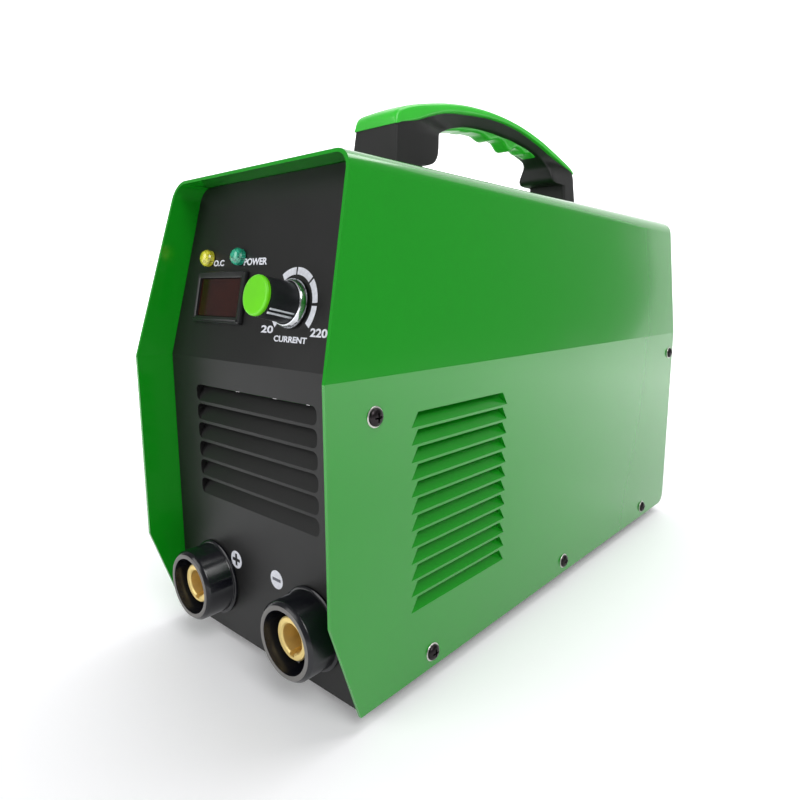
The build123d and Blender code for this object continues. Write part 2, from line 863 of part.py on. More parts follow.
# ---------------------------------------------------------------- fan
fan_front = rear_y - panel_sheet - touch
with BuildPart() as fan_frame:
    with BuildSketch(facing(fan_front - fan_depth)) as fan_outline:
        with Locations((0, fan_z)):
            Rectangle(fan_size, fan_size)
        fillet(fan_outline.vertices(), 5)
        with Locations((0, fan_z)):
            Circle(fan_hole, mode=Mode.SUBTRACT)
        with Locations(*fan_bolts):
            Circle(screw_radius + screw_gap, mode=Mode.SUBTRACT)
    extrude(amount=-fan_depth)
    # motor plate on three arms, towards the inside of the cabinet
    with BuildSketch(facing(fan_front - fan_depth)):
        with Locations((0, fan_z)):
            Circle(hub_radius)
            with PolarLocations((hub_radius + fan_hole) / 2, 3, start_angle=30):
                Rectangle(fan_hole - hub_radius + 6, 4)
    extrude(amount=-3)
    with BuildSketch(facing(fan_front - fan_depth + 3)):
        with Locations((0, fan_z)):
            Circle(5)
    extrude(amount=-6)
    with BuildSketch(facing(fan_front - fan_depth + 1)):
        with Locations((0, fan_z)):
            Circle(1.5 + running_gap)
    extrude(amount=-20, mode=Mode.SUBTRACT)
save(fan_frame.part, "fan_frame")

blade_middle = fan_front - fan_depth + 13
with BuildPart() as fan_rotor:
    with BuildSketch(facing(fan_front - fan_depth + 4)):
        with Locations((0, fan_z)):
            Circle(hub_radius)
    extrude(amount=-fan_depth + 7)
    with BuildSketch(facing(fan_front - fan_depth + 4)):
        with Locations((0, fan_z)):
            Circle(hub_radius - 2)
    extrude(amount=-fan_depth + 9, mode=Mode.SUBTRACT)
    with BuildSketch(facing(fan_front - fan_depth + 2)):
        with Locations((0, fan_z)):
            Circle(1.5)
    extrude(amount=-fan_depth + 6)
    for blade in range(blade_count):
        turn = Rot(0, 360 / blade_count * blade, 0)
        plate = Pos((hub_radius + blade_tip) / 2, 0, 0) * Rot(35, 0, 0)
        root_overlap = 1.0
        add(Pos(0, blade_middle, fan_z) * turn * plate
            * Box(blade_tip - hub_radius + root_overlap, 1.4, 20, mode=Mode.PRIVATE))
save(fan_rotor.part, "fan_rotor")

guard_plane = facing(rear_y + touch + guard_bend)
guard_middle = guard_plane * Pos(0, fan_z, 0)
with BuildPart() as fan_guard:
    for radius in (12, 20, 28, 36, 44):
        add(guard_middle * Torus(radius, guard_wire, mode=Mode.PRIVATE))
    for arm in range(4):
        turn = guard_middle * Rot(0, 0, 45 + 90 * arm)
        add(turn * Pos(35, 0, guard_wire) * Rot(0, 90, 0)
            * Cylinder(guard_spoke, 48, mode=Mode.PRIVATE))
        eye = turn * Pos(fan_bolt * 2 ** 0.5, 0, guard_bend - guard_eye / 2)
        add(eye * Cylinder(4.5, guard_eye, mode=Mode.PRIVATE))
    with BuildSketch(facing(rear_y - 5)):
        with Locations(*fan_bolts):
            Circle(screw_radius + screw_gap)
    extrude(amount=-20, mode=Mode.SUBTRACT)
save(fan_guard.part, "fan_guard")


def facing_rear(y):
    """Plane across the cabinet at y, seen from behind, local x towards -X."""
    return Plane(origin=(0, y, 0), x_dir=(-1, 0, 0), z_dir=(0, 1, 0))


eye_back = rear_y + touch + guard_bend + guard_wire * 2
with BuildPart() as fan_screws:
    add(pan_screw(facing_rear(eye_back + touch), [(-x, z) for x, z in fan_bolts],
                  eye_back + 2 * touch - fan_front + fan_depth + 5))
save(fan_screws.part, "fan_screws")

with BuildPart() as fan_nuts:
    with BuildSketch(facing(fan_front - fan_depth - touch)):
        with Locations(*fan_bolts):
            RegularPolygon(3.9, 6)
            Circle(screw_radius + 0.05, mode=Mode.SUBTRACT)
    extrude(amount=3)
save(fan_nuts.part, "fan_nuts")

# ---------------------------------------------------------------- mains switch
with BuildPart() as switch_body:
    with BuildSketch(facing(rear_y + touch)):
        with Locations((switch_x, switch_z)):
            Rectangle(switch_width + 2 * bezel_rim, switch_height + 2 * bezel_rim)
    extrude(amount=-bezel_thick)
    with BuildSketch(facing(rear_y + touch)):
        with Locations((switch_x, switch_z)):
            Rectangle(switch_width - 0.4, switch_height - 0.4)
    extrude(amount=22)
    with BuildSketch(facing(rear_y + bezel_thick + 1)):
        with Locations((switch_x, switch_z)):
            Rectangle(switch_width - 2 * wall, switch_height - 2 * wall)
    extrude(amount=16, mode=Mode.SUBTRACT)
    # lugs that carry the rocker's pins
    with BuildSketch(from_side(switch_x + switch_width / 2)):
        with Locations((rear_y - 4, switch_z)):
            Circle(1.5 + running_gap)
    extrude(amount=-switch_width, mode=Mode.SUBTRACT)
    # terminals
    with BuildSketch(facing(rear_y - 21.9)):
        with Locations((switch_x, switch_z)):
            with GridLocations(14, 10, 2, 2):
                Rectangle(0.8, 6.3)
    extrude(amount=9)
save(switch_body.part, "switch_body")

rocker_half = switch_height / 2 - wall - 0.9
with BuildPart() as switch_rocker:
    with BuildSketch(from_side(switch_x)):
        with BuildLine():
            pivot_y = rear_y - 4
            Polyline(
                (pivot_y - 3, switch_z - 3),
                (pivot_y - 3, switch_z + 3),
                (pivot_y + 1, switch_z + rocker_half),
                (pivot_y + 8, switch_z + rocker_half - 0.6),
            )
            ThreePointArc(
                (pivot_y + 8, switch_z + rocker_half - 0.6),
                (pivot_y + 5.6, switch_z),
                (pivot_y + 8, switch_z - rocker_half + 0.6),
            )
            Polyline(
                (pivot_y + 8, switch_z - rocker_half + 0.6),
                (pivot_y + 1, switch_z - rocker_half),
                (pivot_y - 3, switch_z - 3),
            )
        make_face()
    extrude(amount=switch_width / 2 - wall - 0.3, both=True)
    with BuildSketch(from_side(switch_x)):
        with Locations((pivot_y, switch_z)):
            Circle(1.5)
    extrude(amount=switch_width / 2 - 0.5, both=True)
rocker_turn = Pos(0, pivot_y, switch_z) * Rot(rocker_tilt, 0, 0) * Pos(0, -pivot_y, -switch_z)
save(rocker_turn * switch_rocker.part, "switch_rocker")

# ---------------------------------------------------------------- mains cable gland
gland_cap_length = gland_reach - gland_flange
with BuildPart() as gland_body:
    with BuildSketch(facing(rear_y + touch)):
        with Locations((gland_x, gland_z)):
            RegularPolygon(gland_across / 2, 6, major_radius=False)
    extrude(amount=-(gland_flange - touch))
    with BuildSketch(facing(rear_y + touch)):
        with Locations((gland_x, gland_z)):
            Circle(gland_thread)
    extrude(amount=12)
    with BuildSketch(facing(rear_y)):
        with Locations((gland_x, gland_z)):
            Circle(gland_thread)
    extrude(amount=-gland_flange - 8)
    with BuildSketch(facing(rear_y - 15)):
        with Locations((gland_x, gland_z)):
            Circle(gland_thread - 1.5)
    extrude(amount=-40, mode=Mode.SUBTRACT)
save(gland_body.part, "gland_body")

with BuildPart() as gland_cap:
    with BuildSketch(facing(rear_y + gland_flange + touch)):
        with Locations((gland_x, gland_z)):
            RegularPolygon(gland_across / 2, 6, major_radius=False)
    extrude(amount=-9)
    with BuildSketch(facing(rear_y + gland_flange + touch)):
        with Locations((gland_x, gland_z)):
            Circle(gland_across / 2 - 0.4)
    extrude(amount=-gland_cap_length + touch)
    fillet(gland_cap.faces().sort_by(Axis.Y)[-1].edges(), 4.0)
    with BuildSketch(facing(rear_y + gland_flange)):
        with Locations((gland_x, gland_z)):
            Circle(gland_thread + 0.05)
    extrude(amount=-gland_cap_length + 3.5, mode=Mode.SUBTRACT)
    with BuildSketch(facing(rear_y + gland_flange)):
        with Locations((gland_x, gland_z)):
            Circle(gland_bore + 0.4)
    extrude(amount=-gland_cap_length - 5, mode=Mode.SUBTRACT)
save(gland_cap.part, "gland_cap")

with BuildPart() as gland_seal:
    with BuildSketch(facing(rear_y + gland_flange)):
        with Locations((gland_x, gland_z)):
            Circle(gland_thread - 1.5 - 0.1)
            Circle(gland_bore, mode=Mode.SUBTRACT)
    extrude(amount=-(gland_cap_length - 3.5 - touch))
save(gland_seal.part, "gland_seal")

with BuildPart() as gland_locknut:
    with BuildSketch(facing(rear_y - panel_sheet - touch)):
        with Locations((gland_x, gland_z)):
            RegularPolygon(gland_across / 2, 6, major_radius=False)
            Circle(gland_thread + 0.05, mode=Mode.SUBTRACT)
    extrude(amount=5)
save(gland_locknut.part, "gland_locknut")

# ---------------------------------------------------------------- earth stud
with BuildPart() as earth_stud:
    with BuildSketch(facing(rear_y - panel_sheet - touch)):
        with Locations((earth_x, earth_z)):
            RegularPolygon(5, 6, major_radius=False)
    extrude(amount=4)
    with BuildSketch(facing(rear_y - panel_sheet - touch)):
        with Locations((earth_x, earth_z)):
            Circle(earth_thread)
    extrude(amount=-(earth_reach + panel_sheet + touch))
    with BuildSketch(facing(rear_y + earth_reach - earth_free)):
        with Locations((earth_x, earth_z)):
            Circle(earth_radius)
    extrude(amount=-earth_free)
save(earth_stud.part, "earth_stud")

with BuildPart() as earth_nuts:
    for away in (touch, 6.0):
        with BuildSketch(facing(rear_y + away)):
            with Locations((earth_x, earth_z)):
                RegularPolygon(5, 6, major_radius=False)
                Circle(earth_thread + 0.05, mode=Mode.SUBTRACT)
        extrude(amount=-4)
save(earth_nuts.part, "earth_nuts")

with BuildPart() as earth_washers:
    with BuildSketch(facing(rear_y + 4.3)):
        with Locations((earth_x, earth_z)):
            Circle(6.2)
            Circle(earth_thread + touch, mode=Mode.SUBTRACT)
    extrude(amount=-1.4)
save(earth_washers.part, "earth_washers")

# ---------------------------------------------------------------- main board and what it carries
board_low = tray_floor + standoff + touch
board_top = board_low + board_thick
on_board = board_top + touch
with BuildPart() as board_standoffs:
    with BuildSketch(Plane.XY.offset(tray_floor)):
        with Locations(*standoff_places):
            RegularPolygon(3.5, 6)
            Circle(1.6, mode=Mode.SUBTRACT)
    extrude(amount=standoff)
save(board_standoffs.part, "board_standoffs")

with BuildPart() as board_screws:
    with BuildSketch(Plane.XY.offset(on_board)):
        with Locations(*standoff_places):
            Circle(3)
    extrude(amount=2)
    with BuildSketch(Plane.XY.offset(on_board)):
        with Locations(*standoff_places):
            Circle(1.5)
    extrude(amount=-board_thick - 6)
save(board_screws.part, "board_screws")

with BuildPart() as main_board:
    with BuildSketch(Plane.XY.offset(board_low)):
        with Locations((0, front + (board_front + board_rear) / 2)):
            Rectangle(board_width, board_rear - board_front)
        with Locations(*standoff_places):
            Circle(1.7, mode=Mode.SUBTRACT)
    extrude(amount=board_thick)
save(main_board.part, "main_board")

sink_front = front + 150
sink_bottom = on_board


def heatsink(x, outward):
    """Aluminium extrusion on edge: an upright base with fins that point outward."""
    with BuildPart(mode=Mode.PRIVATE) as sink:
        with BuildSketch(facing(sink_front)):
            with Locations((x, sink_bottom + sink_height / 2)):
                Rectangle(sink_base, sink_height)
            for row in range(fin_count):
                z = sink_bottom + fin / 2 + row * (sink_height - fin) / (fin_count - 1)
                with Locations((x + outward * sink_width / 2, z)):
                    Rectangle(sink_width, fin)
        extrude(amount=-sink_length)
    return sink.part


with BuildPart() as primary_heatsink:
    add(heatsink(-12, -1))
save(primary_heatsink.part, "primary_heatsink")

with BuildPart() as output_heatsink:
    add(heatsink(12, 1))
save(output_heatsink.part, "output_heatsink")

chip_places = [sink_front + 14 + step * 34 for step in range(4)]
for name, x in (("igbt_transistors", -12 + sink_base / 2 + touch),
                ("output_diodes", 12 - sink_base / 2 - touch - 5)):
    with BuildPart() as chips:
        with BuildSketch(from_side(x)):
            for y in chip_places:
                with Locations((y, on_board + 18)):
                    Rectangle(15.8, 20.8)
        extrude(amount=5)
        with BuildSketch(from_side(x + 2)):
            for y in chip_places:
                for pin in (-5.4, 0, 5.4):
                    with Locations((y + pin, on_board + 5)):
                        Rectangle(1.2, 10)
        extrude(amount=0.6)
        with BuildSketch(from_side(x)):
            for y in chip_places:
                with Locations((y, on_board + 23)):
                    Circle(1.8)
        extrude(amount=5, mode=Mode.SUBTRACT)
    save(chips.part, name)

with BuildPart() as bridge_rectifier:
    with BuildSketch(Plane.XY.offset(sink_bottom + sink_height + touch)):
        with Locations((-28, sink_front + 40)):
            Rectangle(28, 28)
    extrude(amount=10)
    with BuildSketch(Plane.XY.offset(sink_bottom + sink_height + 10)):
        with Locations((-28, sink_front + 40)):
            with GridLocations(16, 16, 2, 2):
                Rectangle(6.3, 0.8)
    extrude(amount=9)
save(bridge_rectifier.part, "bridge_rectifier")

with BuildPart() as bulk_capacitors:
    with BuildSketch(Plane.XY.offset(on_board)):
        with Locations((-38, front + 118)):
            with GridLocations(1, 2 * capacitor_radius + 2, 1, 2):
                Circle(capacitor_radius)
    extrude(amount=45)
    chamfer(bulk_capacitors.faces().sort_by(Axis.Z)[-2:].edges(), 1.0)
save(bulk_capacitors.part, "bulk_capacitors")

core_y = front + 112
with BuildPart() as transformer_core:
    with BuildSketch(facing(core_y - core_depth / 2)):
        with Locations((core_x, on_board + core_height / 2)):
            Rectangle(core_width, core_height)
            with Locations((-(core_width / 2 - core_leg - 4.9), 0),
                           (core_width / 2 - core_leg - 4.9, 0)):
                Rectangle(9.8, core_height - 2 * core_leg, mode=Mode.SUBTRACT)
    extrude(amount=-core_depth)
save(transformer_core.part, "transformer_core")

winding_height = core_height - 2 * core_leg - 1
core_middle = core_width - 2 * core_leg - 4 * 4.9
with BuildPart() as transformer_winding:
    with BuildSketch(Plane.XY.offset(on_board + core_leg + 0.5)) as coil:
        with Locations((core_x, core_y)):
            Rectangle(core_middle + 18, core_depth + 18)
        fillet(coil.vertices(), 6)
        with Locations((core_x, core_y)):
            Rectangle(core_middle + 2 * touch, core_depth + 2 * touch, mode=Mode.SUBTRACT)
    extrude(amount=winding_height)
save(transformer_winding.part, "transformer_winding")

with BuildPart() as output_inductor:
    coil_plane = Plane(origin=(0, front + 84, on_board + 23), x_dir=(1, 0, 0), z_dir=(0, -1, 0))
    add(coil_plane * Pos(-24, 0, 0) * Torus(17, 6, mode=Mode.PRIVATE))
save(output_inductor.part, "output_inductor")

for sign, side in ((-1, "positive"), (1, "negative")):
    x = sign * socket_spread
    with BuildPart() as busbar:
        # eye on the socket's stud, then a strap down and back on to the board
        bar_y = panel_back + insert_bore_depth + 4
        with BuildSketch(facing(bar_y)):
            with Locations((x, socket_z)):
                Rectangle(bar_width, bar_width)
            with Locations((x, (socket_z + on_board) / 2)):
                Rectangle(bar_width, socket_z - on_board)
            with Locations((x, socket_z)):
                Circle(stud_radius + touch, mode=Mode.SUBTRACT)
        extrude(amount=-bar_thick)
        with BuildSketch(Plane.XY.offset(on_board)):
            with Locations((x, (bar_y + front + board_front + 14) / 2)):
                Rectangle(bar_width, front + board_front + 14 - bar_y)
        extrude(amount=bar_thick)
    save(busbar.part, f"{side}_busbar")

with BuildPart() as busbar_nuts:
    with BuildSketch(facing(bar_y + bar_thick + touch)):
        with Locations(*socket_places):
            RegularPolygon(9.5, 6)
            Circle(stud_radius + 0.05, mode=Mode.SUBTRACT)
    extrude(amount=-5)
save(busbar_nuts.part, "busbar_nuts")
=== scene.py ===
import math

import bmesh
import bpy
import numpy as np
from mathutils import Matrix, Vector


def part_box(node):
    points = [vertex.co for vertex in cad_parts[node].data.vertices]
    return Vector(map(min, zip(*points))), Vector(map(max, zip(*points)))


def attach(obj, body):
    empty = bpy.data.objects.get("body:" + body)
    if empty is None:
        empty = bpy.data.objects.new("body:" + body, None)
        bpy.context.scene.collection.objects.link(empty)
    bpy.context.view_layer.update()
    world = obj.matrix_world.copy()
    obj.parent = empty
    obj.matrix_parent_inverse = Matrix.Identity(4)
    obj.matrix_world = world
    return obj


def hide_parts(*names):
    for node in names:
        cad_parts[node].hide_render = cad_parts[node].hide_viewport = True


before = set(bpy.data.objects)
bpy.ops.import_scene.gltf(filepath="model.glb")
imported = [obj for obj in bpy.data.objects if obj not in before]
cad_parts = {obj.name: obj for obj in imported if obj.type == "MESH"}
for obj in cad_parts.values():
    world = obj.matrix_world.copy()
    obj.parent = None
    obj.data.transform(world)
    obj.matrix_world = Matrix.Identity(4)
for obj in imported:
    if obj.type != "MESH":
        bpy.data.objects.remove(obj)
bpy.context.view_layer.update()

# Stick welding inverter: finishes, moulded pieces and printed signs round the fixed frame.
# Lengths are metres, or millimetres times MM. X runs across the cabinet, Y from the front to the
# rear and Z up.

bl_info = {
    "name": "Stick welding inverter",
    "version": (1, 0, 0),
    "blender": (4, 5, 0),
    "location": "View3D > Sidebar > Welder",
    "description": "Builds the finish, the moulded pieces and the signs of a stick welding inverter",
    "category": "Object",
}

MM = 0.001
PANEL_TILT = math.radians(12)      # how far the panel's upper part leans back
SCREW_GAP = 0.15 * MM              # left between pieces that are screwed together


def box_of(node):
    """Lowest and highest corner of a CAD node as arrays."""
    low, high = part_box(node)
    return np.array(low), np.array(high)


# ------------------------------------------------------------------ places taken from the frame
COVER_LOW, COVER_HIGH = box_of("top_cover")
COVER_FRONT = COVER_LOW[1]
COVER_TOP = COVER_HIGH[2]
COVER_BASE = COVER_LOW[2]
HALF = COVER_HIGH[0]
PANEL_Y = box_of("front_panel")[0][1]
FOLD = COVER_BASE + 135.7 * MM     # the panel leans back above this height
SOCKETS = {side: box_of(f"{side}_socket_collar") for side in ("positive", "negative")}
LAMPS = {"overload_lamp": box_of("overload_lamp"), "power_lamp": box_of("power_lamp")}
UP_SLOPE = np.array([0.0, math.sin(PANEL_TILT), math.cos(PANEL_TILT)])
OUT_SLOPE = np.array([0.0, -math.cos(PANEL_TILT), math.sin(PANEL_TILT)])
FOLD_POINT = np.array([0.0, PANEL_Y, FOLD])


# ------------------------------------------------------------------ shader expressions
class Value:
    """An output socket of the tree being painted, used in ordinary arithmetic."""

    def __init__(self, tree, socket):
        self.tree = tree
        self.socket = socket

    def _math(self, operation, other=None, swap=False):
        """A math node of the value and another, the other way round where swap is set."""
        terms = [other, self] if swap else [self, other]
        return self.tree.node("ShaderNodeMath", {"operation": operation},
                              *[t for t in terms if t is not None])

    def __add__(self, other):
        return self._math("ADD", other)

    def __sub__(self, other):
        return self._math("SUBTRACT", other)

    def __rsub__(self, other):
        return self._math("SUBTRACT", other, swap=True)

    def __mul__(self, other):
        return self._math("MULTIPLY", other)

    def __truediv__(self, other):
        return self._math("DIVIDE", other)

    def __rtruediv__(self, other):
        return self._math("DIVIDE", other, swap=True)

    __radd__ = __add__
    __rmul__ = __mul__

    def wave(self):
        """The sine of the value."""
        return self._math("SINE")

    def limit(self, low, high):
        """The value moved from low..high to 0..1 and held there."""
        return self.tree.node("ShaderNodeMapRange", {"clamp": True}, self, low, high, 0.0, 1.0)


class Paint:
    """One procedural material with a Principled shader."""

    def __init__(self, name, colour, roughness, **fixed):
        self.material = bpy.data.materials.new(name)
        self.material.use_nodes = True
        self.nodes = self.material.node_tree.nodes
        self.links = self.material.node_tree.links
        self.nodes.clear()
        self.shader = self.nodes.new("ShaderNodeBsdfPrincipled")
        self.out = self.nodes.new("ShaderNodeOutputMaterial")
        self.links.new(self.shader.outputs[0], self.out.inputs["Surface"])
        self.set(Base_Color=(*colour, 1.0), Roughness=roughness, **fixed)

    def set(self, **sockets):
        """Sets the shader's own sockets by name, with _ for a space."""
        for name, value in sockets.items():
            self.plug(self.shader.inputs[name.replace("_", " ")], value)

    def plug(self, socket, value):
        """Links a Value to the socket, or sets a constant on it."""
        if isinstance(value, Value):
            self.links.new(value.socket, socket)
        elif socket.type == "RGBA" and len(value) == 3:
            socket.default_value = (*value, 1.0)
        else:
            socket.default_value = value

    def node(self, kind, settings=None, *values, output=0, **named):
        """A node of that kind with its settings, then its inputs in order or by name."""
        made = self.nodes.new(kind)
        for key, setting in (settings or {}).items():
            setattr(made, key, setting)
        open_inputs = [s for s in made.inputs if s.enabled]
        for socket, value in zip(open_inputs, values):
            self.plug(socket, value)
        for key, value in named.items():
            named_socket = [s for s in open_inputs if s.name == key.replace("_", " ")][0]
            self.plug(named_socket, value)
        shown = [s for s in made.outputs if s.enabled]
        return Value(self, shown[output] if isinstance(output, int) else made.outputs[output])

    def place(self, stretch=(1.0, 1.0, 1.0)):
        """Object coordinates, stretched along the axes."""
        where = self.node("ShaderNodeTexCoord", output="Object")
        if tuple(stretch) == (1.0, 1.0, 1.0):
            return where
        return self.node("ShaderNodeMapping", {}, where, Scale=stretch)

    def axis(self, name):
        """One of the object coordinates, by its letter."""
        return self.node("ShaderNodeSeparateXYZ", {}, self.place(), output=name)

    def noise(self, scale, detail=2.0, rough=0.5, stretch=(1.0, 1.0, 1.0)):
        """Soft noise of 0 to 1."""
        return self.node("ShaderNodeTexNoise", {}, Vector=self.place(stretch), Scale=scale,
                         Detail=detail, Roughness=rough, output=0)

    def cells(self, scale, stretch=(1.0, 1.0, 1.0), feature="F1"):
        """Distance in a pattern of cells, from their middles or from their edges."""
        return self.node("ShaderNodeTexVoronoi", {"feature": feature},
                         Vector=self.place(stretch), Scale=scale)

    def mix(self, factor, first, second):
        """One colour turned into another by the factor."""
        return self.node("ShaderNodeMix", {"data_type": "RGBA"}, factor, first, second)

    def bump(self, height, distance, strength=1.0):
        """Height in units of the distance, in metres."""
        self.set(Normal=self.node("ShaderNodeBump", {}, Height=height, Distance=distance,
                                  Strength=strength))
        return self


def srgb(red, green, blue):
    """A display colour of 0 to 255 as linear light."""
    values = np.array([red, green, blue]) / 255
    linear = np.where(values <= 0.04045, values / 12.92, ((values + 0.055) / 1.055) ** 2.4)
    return tuple(float(v) for v in linear)


def plain(prop):
    """A colour property as a plain triple."""
    return tuple(prop)[:3]


# ------------------------------------------------------------------ materials
def enamel_green(colours):
    """Glossy stoved enamel on steel: faint orange peel, thin dust haze and hairline scuffs."""
    p = Paint("green_enamel", plain(colours.cabinet), 0.16, Specular_IOR_Level=0.5,
              Coat_Roughness=0.06)
    haze = p.noise(9.0, 4.0).limit(0.45, 0.75)
    scuff = p.noise(60.0, 6.0, 0.7, (1.0, 0.25, 6.0)).limit(0.66, 0.78)
    tone = p.mix(haze * 0.35, plain(colours.cabinet), tuple(c * 0.86 for c in plain(colours.cabinet)))
    p.set(Base_Color=tone, Roughness=0.16 + haze * 0.06 + scuff * 0.10, Coat_Weight=0.35)
    peel = p.noise(420.0, 2.0)
    return p.bump(peel, 0.00003, 0.35).material


def enamel_black(colours):
    """Satin black powder coat with a fine grain."""
    p = Paint("black_enamel", plain(colours.panel), 0.42, Specular_IOR_Level=0.35)
    grain = p.noise(2600.0, 3.0)
    cloud = p.noise(14.0, 4.0).limit(0.4, 0.7)
    dark = plain(colours.panel)
    p.set(Base_Color=p.mix(cloud, dark, tuple(c * 1.25 + 0.002 for c in dark)),
          Roughness=0.36 + cloud * 0.08 + grain * 0.06)
    return p.bump(grain, 0.00004, 0.6).material


def moulded_black(name, colour, roughness, grain_size=1800.0, depth=0.00005):
    """Moulded black plastic with spark-eroded grain."""
    p = Paint(name, colour, roughness)
    grain = p.noise(grain_size, 4.0, 0.6)
    smear = p.noise(30.0, 3.0).limit(0.45, 0.7)
    p.set(Base_Color=p.mix(smear, colour, tuple(c * 1.3 + 0.003 for c in colour)),
          Roughness=roughness + smear * 0.10 + (grain - 0.5) * 0.1)
    return p.bump(grain, depth, 0.7).material


def tinted_plastic(name, colour, roughness, depth=0.00002):
    """Coloured moulded plastic, slightly mottled, with a soft sheen."""
    p = Paint(name, colour, roughness, Specular_IOR_Level=0.5)
    mottle = p.noise(45.0, 4.0).limit(0.35, 0.75)
    p.set(Base_Color=p.mix(mottle, colour, tuple(c * 0.86 for c in colour)),
          Roughness=roughness + mottle * 0.08)
    return p.bump(p.noise(900.0, 3.0), depth, 0.5).material


def turned_metal(name, colour, roughness, metallic=1.0):
    """Machined or plated metal with fine tool marks and a little tarnish."""
    p = Paint(name, colour, roughness, Metallic=metallic)
    marks = p.noise(2500.0, 3.0, 0.6)
    tarnish = p.noise(90.0, 5.0).limit(0.45, 0.75)
    p.set(Base_Color=p.mix(tarnish, colour, tuple(c * 0.78 for c in colour)),
          Roughness=roughness + tarnish * 0.12 + (marks - 0.5) * 0.12)
    return p.bump(marks, 0.00001, 0.4).material


def print_ink(name, colour):
    """Screen-printed ink, slightly uneven."""
    p = Paint(name, colour, 0.55)
    wear = p.noise(700.0, 4.0).limit(0.3, 0.7)
    p.set(Base_Color=p.mix(wear, tuple(c * 0.82 for c in colour), colour), Roughness=0.5 + wear * 0.1)
    return p.bump(wear, 0.00001, 0.4).material


def lamp_lens(name, colour, lit_facet_colour):
    """Tinted lens over a ribbed reflector: painted highlights and painted shade on its facets and ribs,
    under a clear surface.
    """
    p = Paint(name, colour, 0.08, Coat_Roughness=0.03)
    # Painted highlights and painted shade: facets and ribs turn the base colour from a darkened tint to the
    # lighter lit facet colour.
    facets = p.cells(420.0).limit(0.12, 0.62)
    ribs = (p.axis("X") * 5200.0).wave() * (p.axis("Z") * 5200.0).wave()
    light = (facets * 0.6 + ribs * 0.3 + 0.2).limit(0.0, 1.0)
    p.set(Base_Color=p.mix(light, tuple(c * 0.45 for c in colour), lit_facet_colour), Coat_Weight=1.0,
          Roughness=0.1 + facets * 0.1)
    return p.bump(facets, 0.0002, 0.35).material


def display_glass():
    """Dark red filter window with a faint trace of the digit module behind it."""
    p = Paint("display_glass", srgb(30, 10, 9), 0.12, Coat_Roughness=0.08, Specular_IOR_Level=0.3)
    cloud = p.noise(40.0, 3.0).limit(0.35, 0.7)
    p.set(Base_Color=p.mix(cloud, srgb(26, 8, 8), srgb(48, 18, 12)), Roughness=0.1 + cloud * 0.06,
          Coat_Weight=0.15)
    return p.bump(p.noise(300.0), 0.00001, 0.2).material


def board_laminate():
    """Green solder mask with a faint net of tracks."""
    p = Paint("board_laminate", srgb(18, 84, 44), 0.35)
    tracks = p.cells(160.0, (1.0, 1.0, 0.01), "DISTANCE_TO_EDGE").limit(0.0, 0.06)
    p.set(Base_Color=p.mix(tracks, srgb(40, 120, 60), srgb(16, 76, 40)), Roughness=0.3 + tracks * 0.1)
    return p.bump(tracks, 0.00004, 0.5).material


# ------------------------------------------------------------------ meshes from arrays
def make_mesh(name, points, faces, smooth=True):
    """A mesh object at the origin from an array of points and a list of faces."""
    mesh = bpy.data.meshes.new(name)
    mesh.from_pydata(np.asarray(points, float).tolist(), [], [list(map(int, f)) for f in faces])
    mesh.validate()
    if smooth:
        mesh.shade_smooth()
    made = bpy.data.objects.new(name, mesh)
    bpy.context.scene.collection.objects.link(made)
    return made


def grid_faces(rows, columns, wrap_rows=False, wrap_columns=False):
    """Quads between neighbouring rows and columns of a grid, as an array of indices."""
    r = np.arange(rows if wrap_rows else rows - 1)
    c = np.arange(columns if wrap_columns else columns - 1)
    r, c = [a.ravel() for a in np.meshgrid(r, c, indexing="ij")]
    r1, c1 = (r + 1) % rows, (c + 1) % columns
    return np.stack([r * columns + c, r * columns + c1, r1 * columns + c1, r1 * columns + c], 1)


def place_local(points, origin, across, up, out):
    """Local (x, y, z) points carried to a frame of three axes at an origin."""
    points = np.asarray(points, float)
    axes = np.stack([across, up, out])
    return np.asarray(origin) + points @ axes


def revolve(name, profile, origin, out, segments=96):
    """Surface of revolution: the profile's (radius, height) pairs turned round the axis `out`
    through the origin. The profile runs with the solid on its left, seen with height up."""
    profile = np.asarray(profile, float)
    out = np.asarray(out, float) / np.linalg.norm(out)
    across = np.array([1.0, 0.0, 0.0]) if abs(out[0]) < 0.9 else np.array([0.0, 1.0, 0.0])
    up = np.cross(out, across)
    up /= np.linalg.norm(up)
    across = np.cross(up, out)
    turn = np.linspace(0, 2 * np.pi, segments, endpoint=False)
    r = profile[:, 0][:, None]
    ring = np.stack([r * np.cos(turn), r * np.sin(turn),
                     np.broadcast_to(profile[:, 1][:, None], (len(profile), segments))], -1)
    points = place_local(ring.reshape(-1, 3), origin, across, up, out)
    made = make_mesh(name, points, grid_faces(len(profile), segments, wrap_columns=True))
    tidy(made)
    return made


def tidy(made, merge=1e-7):
    """Doubled points merged, then the faces turned outwards."""
    work = bmesh.new()
    work.from_mesh(made.data)
    bmesh.ops.remove_doubles(work, verts=work.verts, dist=merge)
    bmesh.ops.dissolve_degenerate(work, edges=work.edges, dist=merge)
    bmesh.ops.recalc_face_normals(work, faces=work.faces)
    work.to_mesh(made.data)
    work.free()
    made.data.shade_smooth()


def sharpen(made, degrees=35):
    """Edges sharper than an angle are drawn sharp."""
    made.data.set_sharp_from_angle(angle=math.radians(degrees))


def finish_piece(made, material, body, replaces=()):
    """Gives a piece its material, the body it moves with and what it stands for."""
    made.data.materials.clear()
    made.data.materials.append(material)
    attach(made, body)
    if replaces:
        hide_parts(*replaces)
    return made


def paint_nodes(material, *names):
    """Gives CAD nodes a material."""
    for name in names:
        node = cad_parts[name]
        node.data.materials.clear()
        node.data.materials.append(material)


